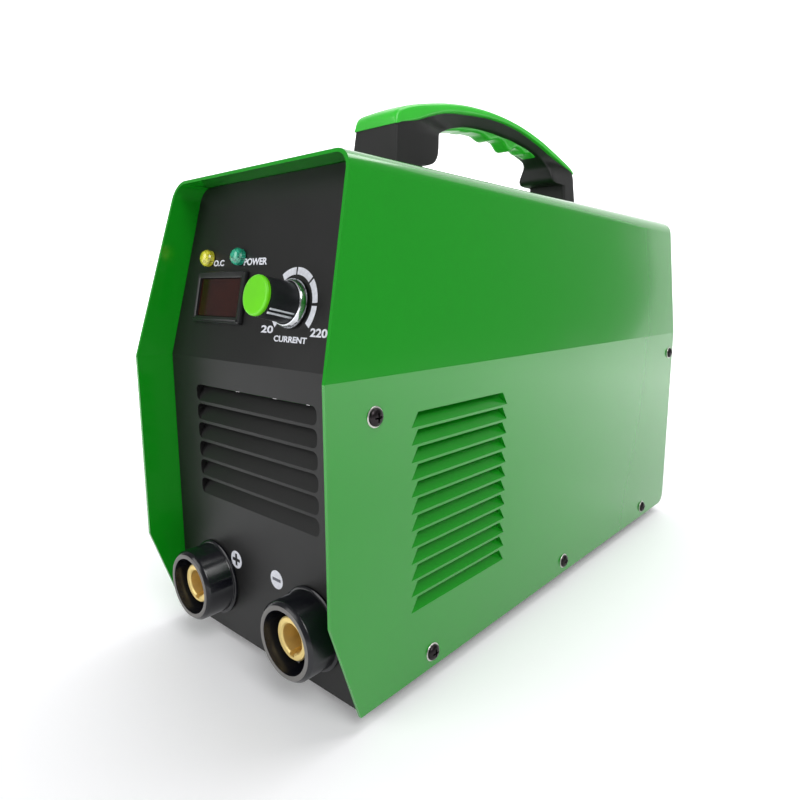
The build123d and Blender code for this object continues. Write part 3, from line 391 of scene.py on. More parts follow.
# ------------------------------------------------------------------ settings a user would change
class WelderSizes(bpy.types.PropertyGroup):
    """Sizes of the moulded pieces and signs"""
    handle_half: bpy.props.FloatProperty(
        name="Handle half width", description="Half of the handle's width at its front leg",
        default=0.015, unit="LENGTH")
    handle_crown: bpy.props.FloatProperty(
        name="Handle crown", description="How far the top grip rises to its middle",
        default=0.0009, unit="LENGTH")
    print_lift: bpy.props.FloatProperty(
        name="Print lift", description="Thickness of the printed signs",
        default=0.00006, unit="LENGTH")
    dial_arc: bpy.props.FloatProperty(
        name="Dial arc radius", description="Middle radius of the dial's printed arc",
        default=0.0139, unit="LENGTH")
    dial_width: bpy.props.FloatProperty(
        name="Dial arc width", description="Width of the dial's printed arc",
        default=0.0031, unit="LENGTH")


class WelderColours(bpy.types.PropertyGroup):
    """Colours of the finishes"""
    cabinet: bpy.props.FloatVectorProperty(
        name="Cabinet", description="Enamel of the cover", subtype="COLOR",
        default=srgb(14, 142, 22))
    panel: bpy.props.FloatVectorProperty(
        name="Panels", description="Powder coat of the panels", subtype="COLOR",
        default=srgb(19, 19, 19))
    grip: bpy.props.FloatVectorProperty(
        name="Grip", description="Green plastic of the handle", subtype="COLOR",
        default=srgb(58, 200, 56))
    cap: bpy.props.FloatVectorProperty(
        name="Knob cap", description="Lime cap of the current control", subtype="COLOR",
        default=srgb(100, 208, 4))
    ink: bpy.props.FloatVectorProperty(
        name="Ink", description="Screen-printed signs", subtype="COLOR",
        default=srgb(222, 224, 232))


# ------------------------------------------------------------------ carrying handle
# Stations along the arch, from the foot of the front leg to the foot of the rear leg, in mm:
# outer point (distance from the cover's front, height over its top), inner point, and how far
# the section has changed from a leg's full block (0) to the arch's tapering one (1).
HANDLE_STATIONS = (
    (93.6, 0, 116, 0, 0), (95, 11.6, 116, 11.6, 0), (95.1, 12.4, 120, 12.6, 0),
    (95.4, 15, 126, 14.8, 0), (95.8, 18.5, 129.3, 18.7, 0), (96.3, 23, 130.5, 24, 0),
    (97, 28, 131, 28.3, 0), (97.6, 32.4, 132.4, 30.6, 0.1), (99.6, 35.6, 136, 32.4, 0.3),
    (103.4, 37.9, 141, 34.3, 0.6), (111, 40.6, 147, 36.5, 0.9), (124, 44, 154, 38.8, 1),
    (140, 47.4, 163, 41, 1), (160, 50, 174, 42.4, 1), (185, 51, 190, 43, 1),
    (212, 49.8, 210, 42.6, 1), (236, 46.5, 228, 41.2, 1), (256, 41.9, 242, 39, 1),
    (270, 38.4, 251, 36, 0.9), (279, 35.9, 255, 33, 0.6), (284.4, 33.4, 256, 30, 0.3),
    (287, 30, 256, 27, 0.1), (288, 26.5, 256.4, 24.4, 0), (288, 24.2, 258, 22.6, 0),
    (288.2, 22.8, 262, 22, 0), (288.2, 22.2, 271, 21.9, 0), (288.4, 21, 272, 20.6, 0),
    (290.6, 0, 272, 0, 0),
)
# The top grip's outer edge and its seam with the body, in the same units.
GRIP_STATIONS = (
    (96.7, 29.4, 97.6, 29.4), (96.9, 32.6, 104, 31), (98.8, 35.8, 109, 32.3),
    (103, 38.1, 114, 33.9), (110, 40.6, 119, 35.8), (121, 43.5, 127, 38.8),
    (138, 47.2, 140, 42.8), (160, 50.3, 161, 46.1), (185, 51.4, 185, 48.2),
    (212, 50.1, 212, 47.4), (238, 46.4, 237, 43.6), (258, 41.8, 256, 39.2),
    (272, 38, 270, 35.6), (281, 35.3, 279, 33.2), (285.6, 32.9, 284.4, 31.8),
    (286.8, 31.2, 286.2, 31),
)

# The arch's underside: distances and heights, in the same units.
ARCH_UNDERSIDE = ((148, 163, 174, 190, 210, 228, 246), (37, 41, 42.4, 43, 42.6, 41.2, 37.9))


def spline(rows, count):
    """Rows of values joined by a Catmull-Rom curve, sampled at `count` even steps of length."""
    rows = np.asarray(rows, float)
    padded_rows = np.concatenate([2 * rows[:1] - rows[1:2], rows, 2 * rows[-1:] - rows[-2:-1]])
    dense = []
    for i in range(len(rows) - 1):
        a, b, c, d = padded_rows[i:i + 4]
        t = np.linspace(0, 1, 24, endpoint=False)[:, None]
        dense.append(0.5 * (2 * b + (c - a) * t + (2 * a - 5 * b + 4 * c - d) * t ** 2
                            + (3 * b - a - 3 * c + d) * t ** 3))
    dense = np.concatenate(dense + [rows[-1:]])
    steps = np.linalg.norm(np.diff(dense[:, :2], axis=0), axis=1)
    steps += 0.35 * np.linalg.norm(np.diff(dense[:, 2:4], axis=0), axis=1)
    along = np.concatenate([[0], np.cumsum(steps)])
    even = np.linspace(0, along[-1], count)
    return np.stack([np.interp(even, along, dense[:, k]) for k in range(rows.shape[1])], 1)


def rounded_section(half_top, half_low, depth, radius, crown=0.0, per_corner=6, per_side=6):
    """Section loop (across, depth below the outer edge) of a four-cornered bar: half_top wide at
    its outer edge and half_low at its inner one, corners of a radius, outer edge crowned by a
    parabola that rises to `crown` in the middle."""
    corners = ((half_top, 0), (half_low, depth), (-half_low, depth), (-half_top, 0))
    loop = []
    for i, here in enumerate(corners):
        here = np.array(here, float)
        before = np.array(corners[i - 1], float)
        after = np.array(corners[(i + 1) % 4], float)
        to_before, to_after = before - here, after - here
        reach = min(radius, 0.45 * np.linalg.norm(to_before), 0.45 * np.linalg.norm(to_after))
        start = here + to_before / np.linalg.norm(to_before) * reach
        end = here + to_after / np.linalg.norm(to_after) * reach
        t = np.linspace(0, 1, per_corner)[:, None]
        arc = (1 - t) ** 2 * start + 2 * t * (1 - t) * here + t ** 2 * end
        loop.append(arc)
        following = np.array(corners[(i + 1) % 4], float)
        beyond = np.array(corners[(i + 2) % 4], float)
        length = np.linalg.norm(following - here)
        next_reach = min(radius, 0.45 * length, 0.45 * np.linalg.norm(beyond - following))
        side_end = following - (following - here) / length * next_reach
        s = np.linspace(0, 1, per_side + 2)[1:-1, None]
        loop.append(end + (side_end - end) * s)
    loop = np.concatenate(loop)
    width = np.abs(loop[:, 0]) / half_top
    near_top = np.clip(1 - loop[:, 1] / max(radius, 1e-9), 0, 1)
    loop[:, 1] -= crown * (1 - np.clip(width, 0, 1) ** 2) * near_top
    return loop


def loft_bar(name, stations, sections):
    """Bar through stations in the side plane: each section's (across, depth) pairs are laid
    across X and from the station's outer point towards its inner one. Both ends are capped."""
    rings = []
    for (outer_y, outer_z, inner_y, inner_z), section in zip(stations, sections):
        outer = np.array([outer_y, outer_z])
        inward = np.array([inner_y, inner_z]) - outer
        inward /= np.linalg.norm(inward)
        spots = outer + section[:, 1:2] * inward
        rings.append(np.column_stack([section[:, 0], spots]))
    rings = np.array(rings)
    count = rings.shape[1]
    points = rings.reshape(-1, 3)
    faces = grid_faces(len(rings), count, wrap_columns=True).tolist()
    faces.append(list(range(count))[::-1])
    faces.append(list(range(len(points) - count, len(points))))
    points[:, 1] += COVER_FRONT
    points[:, 2] += COVER_TOP + SCREW_GAP
    made = make_mesh(name, points, faces)
    tidy(made)
    sharpen(made, 50)
    return made


def half_width(distance, height, sizes):
    """Half width of the handle at a distance from the cover's front and a height over its top:
    full at the front leg, 1.5 mm less at the rear leg, and 2 mm more at the feet."""
    narrower = 1.5 * MM * np.clip((distance - 0.12) / 0.14, 0, 1)
    wider = 2 * MM * np.clip(1 - height / 0.03, 0, 1)
    return sizes.handle_half - narrower + wider


def build_handle(sizes, colours):
    """Moulded body, top grip and finger grip of the carrying handle, lofted along its arch."""
    rows = spline(HANDLE_STATIONS, 230)
    stations, sections = [], []
    for outer_y, outer_z, inner_y, inner_z, arch in rows:
        row = np.array([outer_y, outer_z, inner_y, inner_z]) * MM
        depth = np.linalg.norm(row[2:] - row[:2])
        half = half_width(row[0], (row[1] + row[3]) / 2, sizes) - 0.25 * MM
        low = half + (7.2 * MM - half) * min(max(arch, 0), 1)
        loop = rounded_section(half, low, depth, 1.8 * MM)
        stations.append(row)
        sections.append(loop)
    body = loft_bar("handle_shell", stations, sections)
    black = moulded_black("handle_plastic", srgb(11, 10, 11), 0.52)
    finish_piece(body, black, "root", ["handle_body"])

    rows = spline(GRIP_STATIONS, 150)
    stations, sections = [], []
    for k, row in enumerate(rows * MM):
        depth = np.linalg.norm(row[2:] - row[:2])
        half = half_width(row[0], 0.03, sizes)
        ends = min(k, len(rows) - 1 - k) / 12
        loop = rounded_section(half, half, max(depth, 0.4 * MM), min(2.6 * MM, 0.45 * depth),
                               sizes.handle_crown * min(ends, 1), 8, 14)
        stations.append(row)
        sections.append(loop)
    grip = loft_bar("handle_cap", stations, sections)
    green = tinted_plastic("grip_plastic", plain(colours.grip), 0.3)
    finish_piece(grip, green, "root", ["handle_top_grip"])

    distance = np.linspace(148, 246, 200)
    under = np.interp(distance, *ARCH_UNDERSIDE)
    swell = (0.5 + 0.5 * np.cos(2 * np.pi * (distance - 214) / 22.8)) ** 1.6
    fade = np.clip((distance - 148) / 16, 0, 1) * np.clip((238 - distance) / 10, 0, 1)
    reach = 0.5 + (1.2 + 4.2 * swell * np.clip((distance - 168) / 44, 0.12, 1)) * fade
    stations, sections = [], []
    for y, top, drop in zip(distance, under, reach):
        row = np.array([y, top + 2.5, y, top - drop]) * MM
        depth = (2.5 + drop) * MM
        stations.append(row)
        sections.append(rounded_section(6.4 * MM, 5.4 * MM, depth, 2.4 * MM))
    fingers = loft_bar("handle_fingers", stations, sections)
    finish_piece(fingers, green, "root", ["handle_finger_grip"])


# ------------------------------------------------------------------ weld cable sockets
COLLAR_FLANGE = 18.6               # radii of the collar, in mm
COLLAR_OUTER = 17.2
COLLAR_BORE = 13.6
INSERT_RING = 9.5                  # radii of the insert and its recess behind the collar's face
INSERT_BORE = 6.4
INSERT_RECESS = 4.3
KEY_HALF = 1.3
KEY_DEPTH = 1.5


def build_sockets(sizes, colours):
    """Collars with a chamfered rim, a ribbed well and a keyed brass insert, turned about Y."""
    gloss = moulded_black("socket_plastic", srgb(13, 14, 20), 0.16, 900.0, 0.00001)
    # Painted highlight: a light grey finish on the collar's front face stands for the bright line along its
    # rim.
    rim_highlight = moulded_black("socket_rim_highlight", srgb(96, 94, 92), 0.4, 900.0, 0.00002)
    brass = turned_metal("socket_brass", srgb(252, 226, 150), 0.42, 0.7)
    # Painted shade: the deep part of the insert's bore gets a darker brass, for the shade inside it.
    bore_shade = turned_metal("socket_bore_shade", srgb(150, 108, 30), 0.5)
    for side, (low, high) in SOCKETS.items():
        middle = (low + high) / 2
        face = np.array([middle[0], low[1], middle[2]])
        out = (0, -1, 0)
        outline = [(14.2, -15.6), (COLLAR_FLANGE - 0.3, -15.6), (COLLAR_FLANGE, -15.3),
                   (COLLAR_FLANGE, -14.5), (COLLAR_FLANGE - 0.4, -14.1),
                   (COLLAR_OUTER + 0.25, -14.0), (COLLAR_OUTER, -13.6), (COLLAR_OUTER, -2.0),
                   (COLLAR_OUTER - 0.25, -1.55), (COLLAR_OUTER - 1.45, -0.25),
                   (COLLAR_OUTER - 1.9, -0.04), (COLLAR_BORE + 0.55, -0.0),
                   (COLLAR_BORE + 0.1, -0.25), (COLLAR_BORE, -0.7), (COLLAR_BORE, -12.4),
                   (COLLAR_BORE - 0.4, -13.2), (9.7, -13.3), (9.7, -15.6), (14.2, -15.6)]
        collar = revolve(f"{side}_collar", np.array(outline) * MM, face, out, 128)
        sharpen(collar, 40)
        finish_piece(collar, gloss, "root", [f"{side}_socket_collar"])
        collar.data.materials.append(rim_highlight)
        # The collar's front face outside the bore takes the painted rim highlight.
        rim = np.array([p.center for p in collar.data.polygons])
        radius = np.hypot(rim[:, 0] - face[0], rim[:, 2] - face[2])
        on_rim = (rim[:, 1] < face[1] + 0.3 * MM) & (radius > COLLAR_BORE * MM)
        collar.data.polygons.foreach_set("material_index", on_rim.astype(np.int32))
        rib_points, rib_faces = [], []
        for k in range(3):
            turn = math.radians(20 + 120 * k)
            ring = rib_block(turn, 9.8 * MM, 13.65 * MM, 1.3 * MM, -13.3 * MM, -8.6 * MM)
            rib_faces += [[i + len(rib_points) for i in f] for f in BLOCK_FACES]
            rib_points += ring.tolist()
        ribs = make_mesh(f"{side}_ribs", place_local(rib_points, face, (1, 0, 0), (0, 0, 1), out),
                         rib_faces, smooth=False)
        tidy(ribs)
        ribs.data.shade_flat()
        finish_piece(ribs, gloss, "root")
        insert = brass_insert(side, face, out)
        finish_piece(insert, brass, "root", [f"{side}_socket_insert"])
        insert.data.materials.append(bore_shade)
        # Faces deep inside the bore take the darker brass of the painted shade.
        middles = np.zeros(len(insert.data.polygons) * 3)
        insert.data.polygons.foreach_get("center", middles)
        middles = middles.reshape(-1, 3) - face
        inside = np.hypot(middles[:, 0], middles[:, 2]) < (INSERT_BORE - 0.05) * MM
        inside &= middles[:, 1] > 5 * MM
        insert.data.polygons.foreach_set("material_index", inside.astype(np.int32))


BLOCK_FACES = ((0, 1, 2, 3), (7, 6, 5, 4), (0, 4, 5, 1), (1, 5, 6, 2), (2, 6, 7, 3), (3, 7, 4, 0))


def rib_block(turn, near, far, half, low, high):
    """Eight corners of a radial rib at an angle, with its top sloping up to the wall."""
    along = np.array([math.cos(turn), math.sin(turn)])
    aside = np.array([-along[1], along[0]])
    corners = []
    for level_near, level_far in ((low, low), (high - 2.5 * MM, high)):
        for distance, side in ((near, -half), (near, half), (far, half), (far, -half)):
            flat = along * distance + aside * side
            corners.append((flat[0], flat[1], level_near if distance == near else level_far))
    return np.array(corners)


def brass_insert(side, face, out):
    """Ring with a chamfered bore. The bore's radius is stretched by a keyway: at the foot of the
    ring it grows by the key's depth within half the key's width."""
    front = -INSERT_RECESS
    profile = np.array([(INSERT_RING, -15.4), (INSERT_RING, front - 0.5),
                        (INSERT_RING - 0.5, front), (INSERT_BORE + 0.6, front),
                        (INSERT_BORE, front - 0.6), (INSERT_BORE, front - 9),
                        (INSERT_BORE + KEY_DEPTH, front - 9.2),
                        (INSERT_BORE + KEY_DEPTH, front - 12), (INSERT_BORE, front - 12.2),
                        (INSERT_BORE, front - 24), (0.6, front - 26), (0.0, front - 26.2)])
    segments = 144
    turn = np.linspace(0, 2 * np.pi, segments, endpoint=False)
    radius = np.repeat(profile[:, :1], segments, 1)
    away = np.angle(np.exp(1j * (turn + math.pi / 2)))
    keyed = np.abs(INSERT_BORE * np.sin(away)) < KEY_HALF
    keyed &= np.abs(away) < 1
    inner = (profile[:, 0] < INSERT_RING - 1) & (profile[:, 0] > 5)
    stretch = inner[:, None] & keyed[None, :] & (profile[:, 1] > front - 9.5)[:, None]
    radius[stretch] = np.maximum(radius[stretch], INSERT_BORE + KEY_DEPTH)
    ring_points = np.stack([radius * np.cos(turn), radius * np.sin(turn),
                            np.repeat(profile[:, 1:2], segments, 1)], -1)
    points = place_local(ring_points.reshape(-1, 3) * MM, face, (1, 0, 0), (0, 0, 1), out)
    faces = grid_faces(len(profile), segments, wrap_columns=True)
    made = make_mesh(f"{side}_brass", points, faces)
    tidy(made)
    sharpen(made, 30)
    return made


# ------------------------------------------------------------------ current control
def slope_point(x, up, lift=0.0):
    """Point of the slanted panel: x across, up the slope from the fold, and lift off its face."""
    return FOLD_POINT + np.array([x, 0, 0]) + up * UP_SLOPE + lift * OUT_SLOPE


DIAL = (23.6 * MM, 27.0 * MM)
POINTER_TURN = math.radians(-41)


def build_knob(sizes, colours):
    """Black knob with a lime cap, a pale pointer down its side and a bright skirt."""
    spin = slope_point(*DIAL)
    body_outline = [(7.2, 0.85), (8.55, 0.85), (8.7, 1.1), (8.62, 4), (8.35, 15.9), (8.2, 16.55),
                    (7.8, 16.66), (0, 16.66), (0, 14.0), (7.2, 13.8), (7.2, 0.85)]
    body = revolve("knob_grip", np.array(body_outline) * MM, spin, OUT_SLOPE, 120)
    sharpen(body, 40)
    black = moulded_black("knob_plastic", srgb(26, 27, 30), 0.28, 1400.0, 0.00002)
    finish_piece(body, black, "knob", ["knob_body"])

    cap_outline = [(0, 16.7), (7.7, 16.7), (8.1, 16.95), (8.22, 17.4), (8.18, 18.2), (7.95, 18.62),
                   (7.5, 18.8), (6.7, 18.84), (4, 18.88), (0, 18.9)]
    cap = revolve("knob_disc", np.array(cap_outline) * MM, spin, OUT_SLOPE, 120)
    finish_piece(cap, tinted_plastic("lime_plastic", plain(colours.cap), 0.32), "knob",
                 ["knob_cap"])

    skirt_outline = [(8.8, 0.85), (10.4, 0.85), (10.6, 1.05), (10.55, 1.5), (10.1, 2.6), (9.7, 3.4),
                     (9.45, 3.8), (9.1, 3.9), (8.8, 3.7), (8.8, 0.85)]
    skirt = revolve("knob_ring", np.array(skirt_outline) * MM, spin, OUT_SLOPE, 120)
    chrome = turned_metal("knob_chrome", srgb(222, 224, 228), 0.12)
    finish_piece(skirt, chrome, "knob", ["knob_skirt"])

    ink = print_ink("pointer_ink", plain(colours.ink))
    strips = []
    for shift, width in ((-0.11, 0.9), (0.13, 0.7)):
        strips.append(pointer_strip(POINTER_TURN + shift, width * MM))
    points = np.concatenate([s[0] for s in strips])
    faces = strips[0][1] + [[i + len(strips[0][0]) for i in f] for f in strips[1][1]]
    up = UP_SLOPE
    pointer = make_mesh("knob_pointer", place_local(points, spin, (1, 0, 0), up, OUT_SLOPE), faces)
    tidy(pointer)
    finish_piece(pointer, ink, "knob")


def pointer_strip(turn, width):
    """Raised strip that follows the knob's side from its cap to its foot."""
    heights = np.array([4.2, 6, 9, 12, 15, 15.9]) * MM
    radii = np.interp(heights, [4 * MM, 15.9 * MM], [8.62 * MM, 8.5 * MM])
    spread = np.linspace(-0.5, 0.5, 5) * width / 0.0086
    grids = []
    for lift in (0.16 * MM, -0.4 * MM):
        angle = turn + spread
        r = (radii + lift)[:, None]
        grids.append(np.stack([r * np.cos(angle), r * np.sin(angle),
                               np.repeat(heights[:, None], 5, 1)], -1).reshape(-1, 3))
    points = np.concatenate(grids)
    half = len(grids[0])
    top = grid_faces(len(heights), 5)
    faces = top.tolist() + (top[:, ::-1] + half).tolist()
    rim = [0, 1, 2, 3, 4] + [5 * k + 4 for k in range(1, 6)]
    rim += [28, 27, 26, 25] + [5 * k for k in range(4, 0, -1)]
    for a, b in zip(rim, rim[1:] + rim[:1]):
        faces.append([a, a + half, b + half, b])
    return points, faces


# ------------------------------------------------------------------ lamps and display
def build_lamps(sizes, colours):
    """Two faceted lenses: rings of flat facets step in to a small flat crown."""
    # Each lens gets its tint and a lighter lit facet colour for the painted highlights on its facets.
    looks = {"overload_lamp": ("yellow_lens", srgb(176, 168, 8), srgb(226, 222, 60), "yellow_lens"),
             "power_lamp": ("teal_lens", srgb(4, 104, 84), srgb(40, 176, 140), "green_lens")}
    for name, (label, tint, lit_facet_colour, slot) in looks.items():
        low, high = LAMPS[name]
        x = (low[0] + high[0]) / 2
        outline = [(0, 0.16), (3.9, 0.16), (4.0, 0.3), (4.0, 2.3), (3.6, 3.2), (2.7, 4.05),
                   (1.5, 4.5), (0, 4.58)]
        lens = revolve(f"{name}_lens", np.array(outline) * MM, slope_point(x, 47.8 * MM),
                       OUT_SLOPE, 18)
        lens.data.shade_flat()
        finish_piece(lens, lamp_lens(label, tint, lit_facet_colour), "root", [name])


def rounded_ring(half_x, half_y, radius, height, per_corner=7):
    """Loop of points round a rectangle with round corners at one height."""
    points = []
    for sx, sy, start in ((1, 1, 0), (-1, 1, 90), (-1, -1, 180), (1, -1, 270)):
        turn = np.radians(np.linspace(start, start + 90, per_corner))
        points.append(np.column_stack([sx * (half_x - radius) + radius * np.cos(turn),
                                       sy * (half_y - radius) + radius * np.sin(turn),
                                       np.full(per_corner, height)]))
    return np.concatenate(points)


def loop_stack(name, loops, origin, axes, close=False):
    """Surface through loops of equal length. The last loop joins the first, or both are capped."""
    count = len(loops[0])
    faces = grid_faces(len(loops), count, wrap_rows=close, wrap_columns=True).tolist()
    if not close:
        faces.append(list(range(count))[::-1])
        faces.append(list(range((len(loops) - 1) * count, len(loops) * count)))
    made = make_mesh(name, place_local(np.concatenate(loops), origin, *axes), faces)
    tidy(made)
    return made


SLOPE_AXES = ((1.0, 0.0, 0.0), UP_SLOPE, OUT_SLOPE)


def build_display(sizes, colours):
    """Meter bezel with rounded edges, a stepped window opening and a ledge under it."""
    low, high = box_of("display_bezel")
    origin = slope_point((low[0] + high[0]) / 2, 29.0 * MM)
    rings = [(19.4, 12.15, 0.8, 0.16), (19.5, 12.25, 0.9, 0.5), (19.3, 12.05, 0.9, 2.1),
             (18.95, 11.7, 0.8, 2.5), (17.6, 9.5, 0.7, 2.5), (17.2, 9.1, 0.5, 2.25),
             (17.0, 8.9, 0.4, 1.0), (17.0, 8.9, 0.4, 0.16)]
    loops = [rounded_ring(*[v * MM for v in ring]) for ring in rings]
    bezel = loop_stack("meter_bezel", loops, origin, SLOPE_AXES, close=True)
    sharpen(bezel, 35)
    black = moulded_black("meter_plastic", srgb(16, 16, 18), 0.34, 1500.0, 0.00002)
    finish_piece(bezel, black, "root", ["display_bezel"])
    ledge = [rounded_ring(w * MM, h * MM, 0.3 * MM, z * MM)
             for w, h, z in ((18.3, 0.55, 2.45), (18.3, 0.55, 2.95), (18.1, 0.35, 3.1))]
    step = loop_stack("meter_ledge", ledge, origin - 10.6 * MM * UP_SLOPE, SLOPE_AXES)
    finish_piece(step, black, "root")
    window = [(16.98, 8.88, 0.4, 0.3), (16.98, 8.88, 0.4, 1.2), (16.8, 8.7, 0.4, 1.35)]
    loops = [rounded_ring(*[v * MM for v in ring]) for ring in window]
    glass = loop_stack("meter_window", loops, origin, SLOPE_AXES)
    sharpen(glass, 30)
    finish_piece(glass, display_glass(), "root", ["display_window"])


# ------------------------------------------------------------------ printed signs
def flat_print(outline_pairs, faces, lift):
    """Thin raised print from 2-D points: the same outline low and high, joined round its rim."""
    points = np.asarray(outline_pairs, float)
    count = len(points)
    solid = np.concatenate([np.column_stack([points, np.full(count, lift)]),
                            np.column_stack([points, np.full(count, -lift)])])
    edges = {}
    for face in faces:
        for a, b in zip(face, list(face[1:]) + [face[0]]):
            edges[(a, b)] = True
    rim = [(a, b) for a, b in edges if (b, a) not in edges]
    all_faces = [list(f) for f in faces] + [[i + count for i in f][::-1] for f in faces]
    all_faces += [[b, a, a + count, b + count] for a, b in rim]
    return solid, all_faces


def print_piece(name, solid, faces, origin, axes, material):
    """A printed sign as a piece of the cabinet."""
    made = make_mesh(name, place_local(solid, origin, *axes), faces, smooth=False)
    tidy(made)
    made.data.shade_flat()
    finish_piece(made, material, "root")
    return made


def arc_print(start, end, radius, width, lift, steps=28):
    """Band of an arc between two angles in degrees."""
    turn = np.radians(np.linspace(start, end, steps))
    ends = np.stack([np.cos(turn), np.sin(turn)], 1)
    points = np.concatenate([ends * (radius - width / 2), ends * (radius + width / 2)])
    faces = [[i, i + 1, steps + i + 1, steps + i] for i in range(steps - 1)]
    return flat_print(points, faces, lift)


# Words of the slanted panel: place across and up it, width and height, in mm.
SIGN_WORDS = (("20", 8.6, 15.9, 8.5, 3.2), ("220", 42.4, 15.8, 10.3, 3.5),
              ("CURRENT", 24.9, 12.3, 21.6, 2.6), ("POWER", -6.8, 45.6, 17.4, 3.2),
              ("O.C", -36.2, 45.6, 8.8, 2.9))
# Segments of the dial's arc: where each starts and ends, in degrees from the right.
DIAL_SEGMENTS = ((127, 92), (88, 47), (43, 3), (-2, -38))
STROKE_GAIN = 0.03                 # how far the letters' outlines are moved out, in their height


def text_print(words, width, height, lift):
    """Lettering as a mesh, fitted to a width and height about its middle."""
    curve = bpy.data.curves.new(words, "FONT")
    curve.body = words
    curve.offset = STROKE_GAIN
    curve.extrude = 0.01
    holder = bpy.data.objects.new(words, curve)
    bpy.context.scene.collection.objects.link(holder)
    bpy.context.view_layer.update()
    mesh = bpy.data.meshes.new_from_object(holder.evaluated_get(bpy.context.evaluated_depsgraph_get()))
    points = np.zeros(len(mesh.vertices) * 3)
    mesh.vertices.foreach_get("co", points)
    points = points.reshape(-1, 3)
    faces = [list(p.vertices) for p in mesh.polygons]
    bpy.data.objects.remove(holder)
    bpy.data.meshes.remove(mesh)
    low, high = points.min(0), points.max(0)
    points = (points - (low + high) / 2) / (high - low)
    return points * [width, height, 2 * lift], faces


def build_signs(sizes, colours):
    """Dial scale, triangle, numbers, words and the two polarity discs, all printed."""
    lift = sizes.print_lift
    ink = print_ink("sign_ink", plain(colours.ink))
    dark = print_ink("sign_black", srgb(28, 28, 32))
    grey = print_ink("sign_grey", srgb(96, 98, 108))
    dial = slope_point(*DIAL)
    for k, (start, end) in enumerate(DIAL_SEGMENTS):
        solid, faces = arc_print(start, end, sizes.dial_arc, sizes.dial_width, lift)
        print_piece(f"dial_arc_{k}", solid, faces, dial, SLOPE_AXES, ink)
    solid, faces = flat_print(np.array([(-2.2, 1.2), (0, -1.3), (2.2, 1.2)]) * MM,
                              [[0, 1, 2]], lift)
    print_piece("dial_triangle", solid, faces, slope_point(13.6 * MM, 18.3 * MM), SLOPE_AXES, ink)
    for text, x, up, width, height in SIGN_WORDS:
        solid, faces = text_print(text, width * MM, height * MM, lift)
        print_piece(f"sign_{text.lower().replace('.', '')}", solid, faces,
                    slope_point(x * MM, up * MM), SLOPE_AXES, ink)
    facing = ((1.0, 0.0, 0.0), (0.0, 0.0, 1.0), (0.0, -1.0, 0.0))
    for label, x, mark_ink, bars in (("plus", -18.8, dark, ((0.75, 3.0), (3.0, 0.75))),
                                     ("minus", 13.1, grey, ((2.9, 0.7),))):
        middle = np.array([x * MM, PANEL_Y, COVER_BASE + 39.1 * MM])
        turn = np.linspace(0, 2 * np.pi, 64, endpoint=False)
        disc = np.column_stack([np.cos(turn), np.sin(turn)]) * 4.4 * MM
        solid, faces = flat_print(disc, [list(range(64))], lift)
        print_piece(f"{label}_disc", solid, faces, middle, facing, ink)
        for k, (wide, tall) in enumerate(bars):
            corners = np.array([(-wide, -tall), (wide, -tall), (wide, tall), (-wide, tall)]) * MM
            solid, faces = flat_print(corners, [[0, 1, 2, 3]], lift * (2.2 + 0.3 * k))
            print_piece(f"{label}_bar_{k}", solid, faces, middle, facing, mark_ink)


# ------------------------------------------------------------------ screws of the cover
def screw_head(middle, out):
    """Pan head with a cross recess, as one grid of rings; its washer is made apart. The height is
    a dome, less 1.1 mm where either arm of the cross covers the point, with 0.15 mm slopes."""
    rings = np.array([0, 0.25, 0.5, 0.75, 1, 1.25, 1.5, 1.75, 2, 2.3, 2.7, 3.1, 3.4, 3.55, 3.6])
    turn = np.linspace(0, 2 * np.pi, 72, endpoint=False)
    radius = rings[:, None] + 0 * turn[None, :]
    x, y = radius * np.cos(turn), radius * np.sin(turn)
    height = 2.0 * np.sqrt(np.clip(1 - (radius / 3.75) ** 2.6, 0, 1)) + 0.3
    arms = [np.clip((0.42 - np.abs(a)) / 0.15, 0, 1) * np.clip((1.9 - np.abs(b)) / 0.2, 0, 1)
            for a, b in ((x, y), (y, x))]
    height -= 1.1 * np.maximum(*arms)
    top = np.stack([x, y, height], -1).reshape(-1, 3)
    foot = np.stack([x[-1], y[-1], np.full(72, -0.1)], -1)
    points = np.concatenate([top, foot])
    faces = grid_faces(len(rings) + 1, 72, wrap_columns=True).tolist() + [list(range(len(top), len(points)))]
    across = np.array([0.0, 1.0, 0.0])
    up = np.cross(out, across)
    return place_local(points * MM, middle, across, up, out), faces


